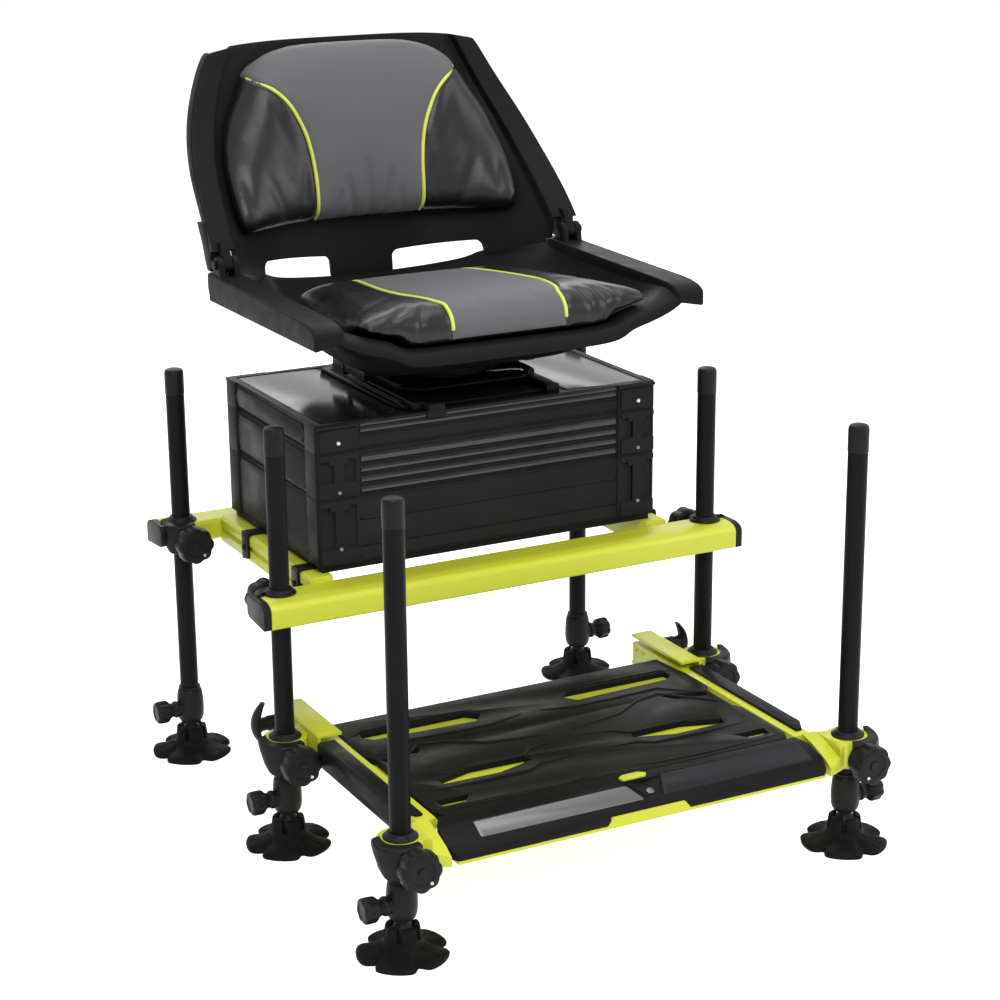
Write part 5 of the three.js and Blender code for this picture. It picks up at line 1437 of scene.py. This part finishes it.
def build_footplate():
    bar = "footplate_bar"
    ridges = paired(*(deck_ridge(path) for path in DECK_RIDGES))
    piece("deck_ridges", ridges, "footplate_deck", DECK, degrees=24)
    piece("bar_plate_silver", bar_plate((-216.5, -214.5), (2.5, -8)), bar, SILVER)
    piece("bar_plate_slate", bar_plate((31, 44), (247, 244), -498), bar, SLATE)
    floor = loft([
        [
            (x0, y, 129), (x1, y, 129), (x1, y, on_bar(y, -0.6)), (middle, y, on_bar(y, -5)),
            (x0, y, on_bar(y, -0.6)),
        ]
        for y, x0, x1, middle in (
            (-527.6, 10.5, 27.5, 19), (-514, 1.8, 36.2, 19), (-500.6, -7.2, 45.2, 20), (-497, -7.2, 45.2, 20),
        )
    ])
    top, foot = on_bar(-497, 0.4), on_bar(-526, 0.4)
    walls = [tube([(x0, -497, top), (x1, -526, foot)], 1.3, 8) for x0, x1 in ((-7, 9), (45, 29))]
    piece("bar_notch", joined(floor, *walls), bar, DECK)
    tag = rounded([(-8, -497), (24, -497), (28, -491), (20, -484), (-2, -484), (-10, -489)], 2, 3)
    piece("bar_tag", slab(tag, 145.2, 148.4, "z", 0.9), bar, LIME)
    screw = turned(lathe([(0, 0), (5, 0), (5, 1.6), (4.2, 2.2), (0, 2.2)], 24), "X", 24)
    piece("bar_screw", moved(screw, 19, -515, 134.6), bar, SILVER)


build_box()
build_rail_clips()
build_base()
build_corner_brackets()
build_wing_knobs()
build_footplate()


# Stage

AZIMUTH = -27.67
ELEVATION = 16.78
ROLL = -0.51
FOCUS = Vector((45.94, -82.58, 382.25))
DISTANCE = 3093.62
FOCAL_SHARE = 2.31921  # focal length over the picture's width
SENSOR = 36
FLOOR_HALF = 9.0
LAMP_AIM = Vector((0, 0, 0.45))
LAMPS = [
    ("key", (-1.1, -3.1, 3.3), (2.6, 2.0), 82),
    ("fill", (2.8, -1.6, 1.9), (2.0, 2.0), 30),
    ("top", (0.1, 0.2, 3.6), (2.4, 2.4), 40),
    ("rear", (0.8, 3.0, 2.4), (2.6, 1.6), 30),
]


def studio_camera():
    turn, rise, roll = (math.radians(a) for a in (AZIMUTH, ELEVATION, ROLL))
    level = math.cos(rise)
    back = Vector((math.sin(turn) * level, -math.cos(turn) * level, math.sin(rise)))
    right = (-back).cross(Vector((0, 0, 1))).normalized()
    up = right.cross(-back)
    side = right * math.cos(roll) + up * math.sin(roll)
    top = up * math.cos(roll) - right * math.sin(roll)
    data = bpy.data.cameras.new("camera")
    data.sensor_width = SENSOR
    data.lens = FOCAL_SHARE * SENSOR
    data.clip_end = 60
    camera = linked("camera", data)
    matrix = Matrix((side, top, back)).transposed().to_4x4()
    matrix.translation = (FOCUS + Vector((0, SHIFT_Y, 0)) + back * DISTANCE) * MM
    camera.matrix_world = matrix
    bpy.context.scene.camera = camera


def soft_light(name, place, size, power):
    data = bpy.data.lights.new(name, "AREA")
    data.shape = "RECTANGLE"
    data.size, data.size_y = size
    data.energy = power
    light = linked(name, data)
    light.location = place
    light.rotation_euler = (LAMP_AIM - Vector(place)).to_track_quat("-Z", "Y").to_euler()


def seen_directly(tree):
    """One where a ray comes straight from the camera, a mirror or glass, and zero elsewhere."""
    camera, mirror, glass = (
        output_of(tree, "LightPath", f"Is {kind} Ray", {}) for kind in ("Camera", "Glossy", "Transmission")
    )
    either = output_of(tree, "Math", "Value", {0: camera, 1: mirror}, operation="MAXIMUM")
    return output_of(tree, "Math", "Value", {0: either, 1: glass}, operation="MAXIMUM")


def pale_floor():
    mesh = bpy.data.meshes.new("floor")
    corners = rectangle(-FLOOR_HALF, -FLOOR_HALF, FLOOR_HALF, FLOOR_HALF)
    mesh.from_pydata([(x, y, 0) for x, y in corners], [], [(0, 1, 2, 3)])
    floor = linked("floor", mesh)
    recipe = Recipe("pale_floor", (0.93, 0.93, 0.93), 0.9, specular=0.1)
    glow = recipe.add("Math", "Value", {0: seen_directly(recipe.tree), 1: 0.85}, operation="MULTIPLY")
    recipe.set({"Emission Color": (1, 1, 1, 1), "Emission Strength": glow})
    floor.data.materials.append(recipe.material)


def pale_world():
    world = bpy.data.worlds.new("studio")
    world.use_nodes = True
    tree = world.node_tree
    tree.nodes.clear()
    light, shown = (
        output_of(tree, "Background", "Background", {"Strength": strength, "Color": color})
        for strength, color in ((0.35, (0.95, 0.97, 1.0, 1)), (1.0, (1, 1, 1, 1)))
    )
    mixed = output_of(tree, "MixShader", "Shader", {0: seen_directly(tree), 1: light, 2: shown})
    fill(tree.nodes.new("ShaderNodeOutputWorld"), {"Surface": mixed})
    bpy.context.scene.world = world


bpy.context.scene.view_settings.view_transform = "Standard"
studio_camera()
pale_floor()
pale_world()
for lamp in LAMPS:
    soft_light(*lamp)
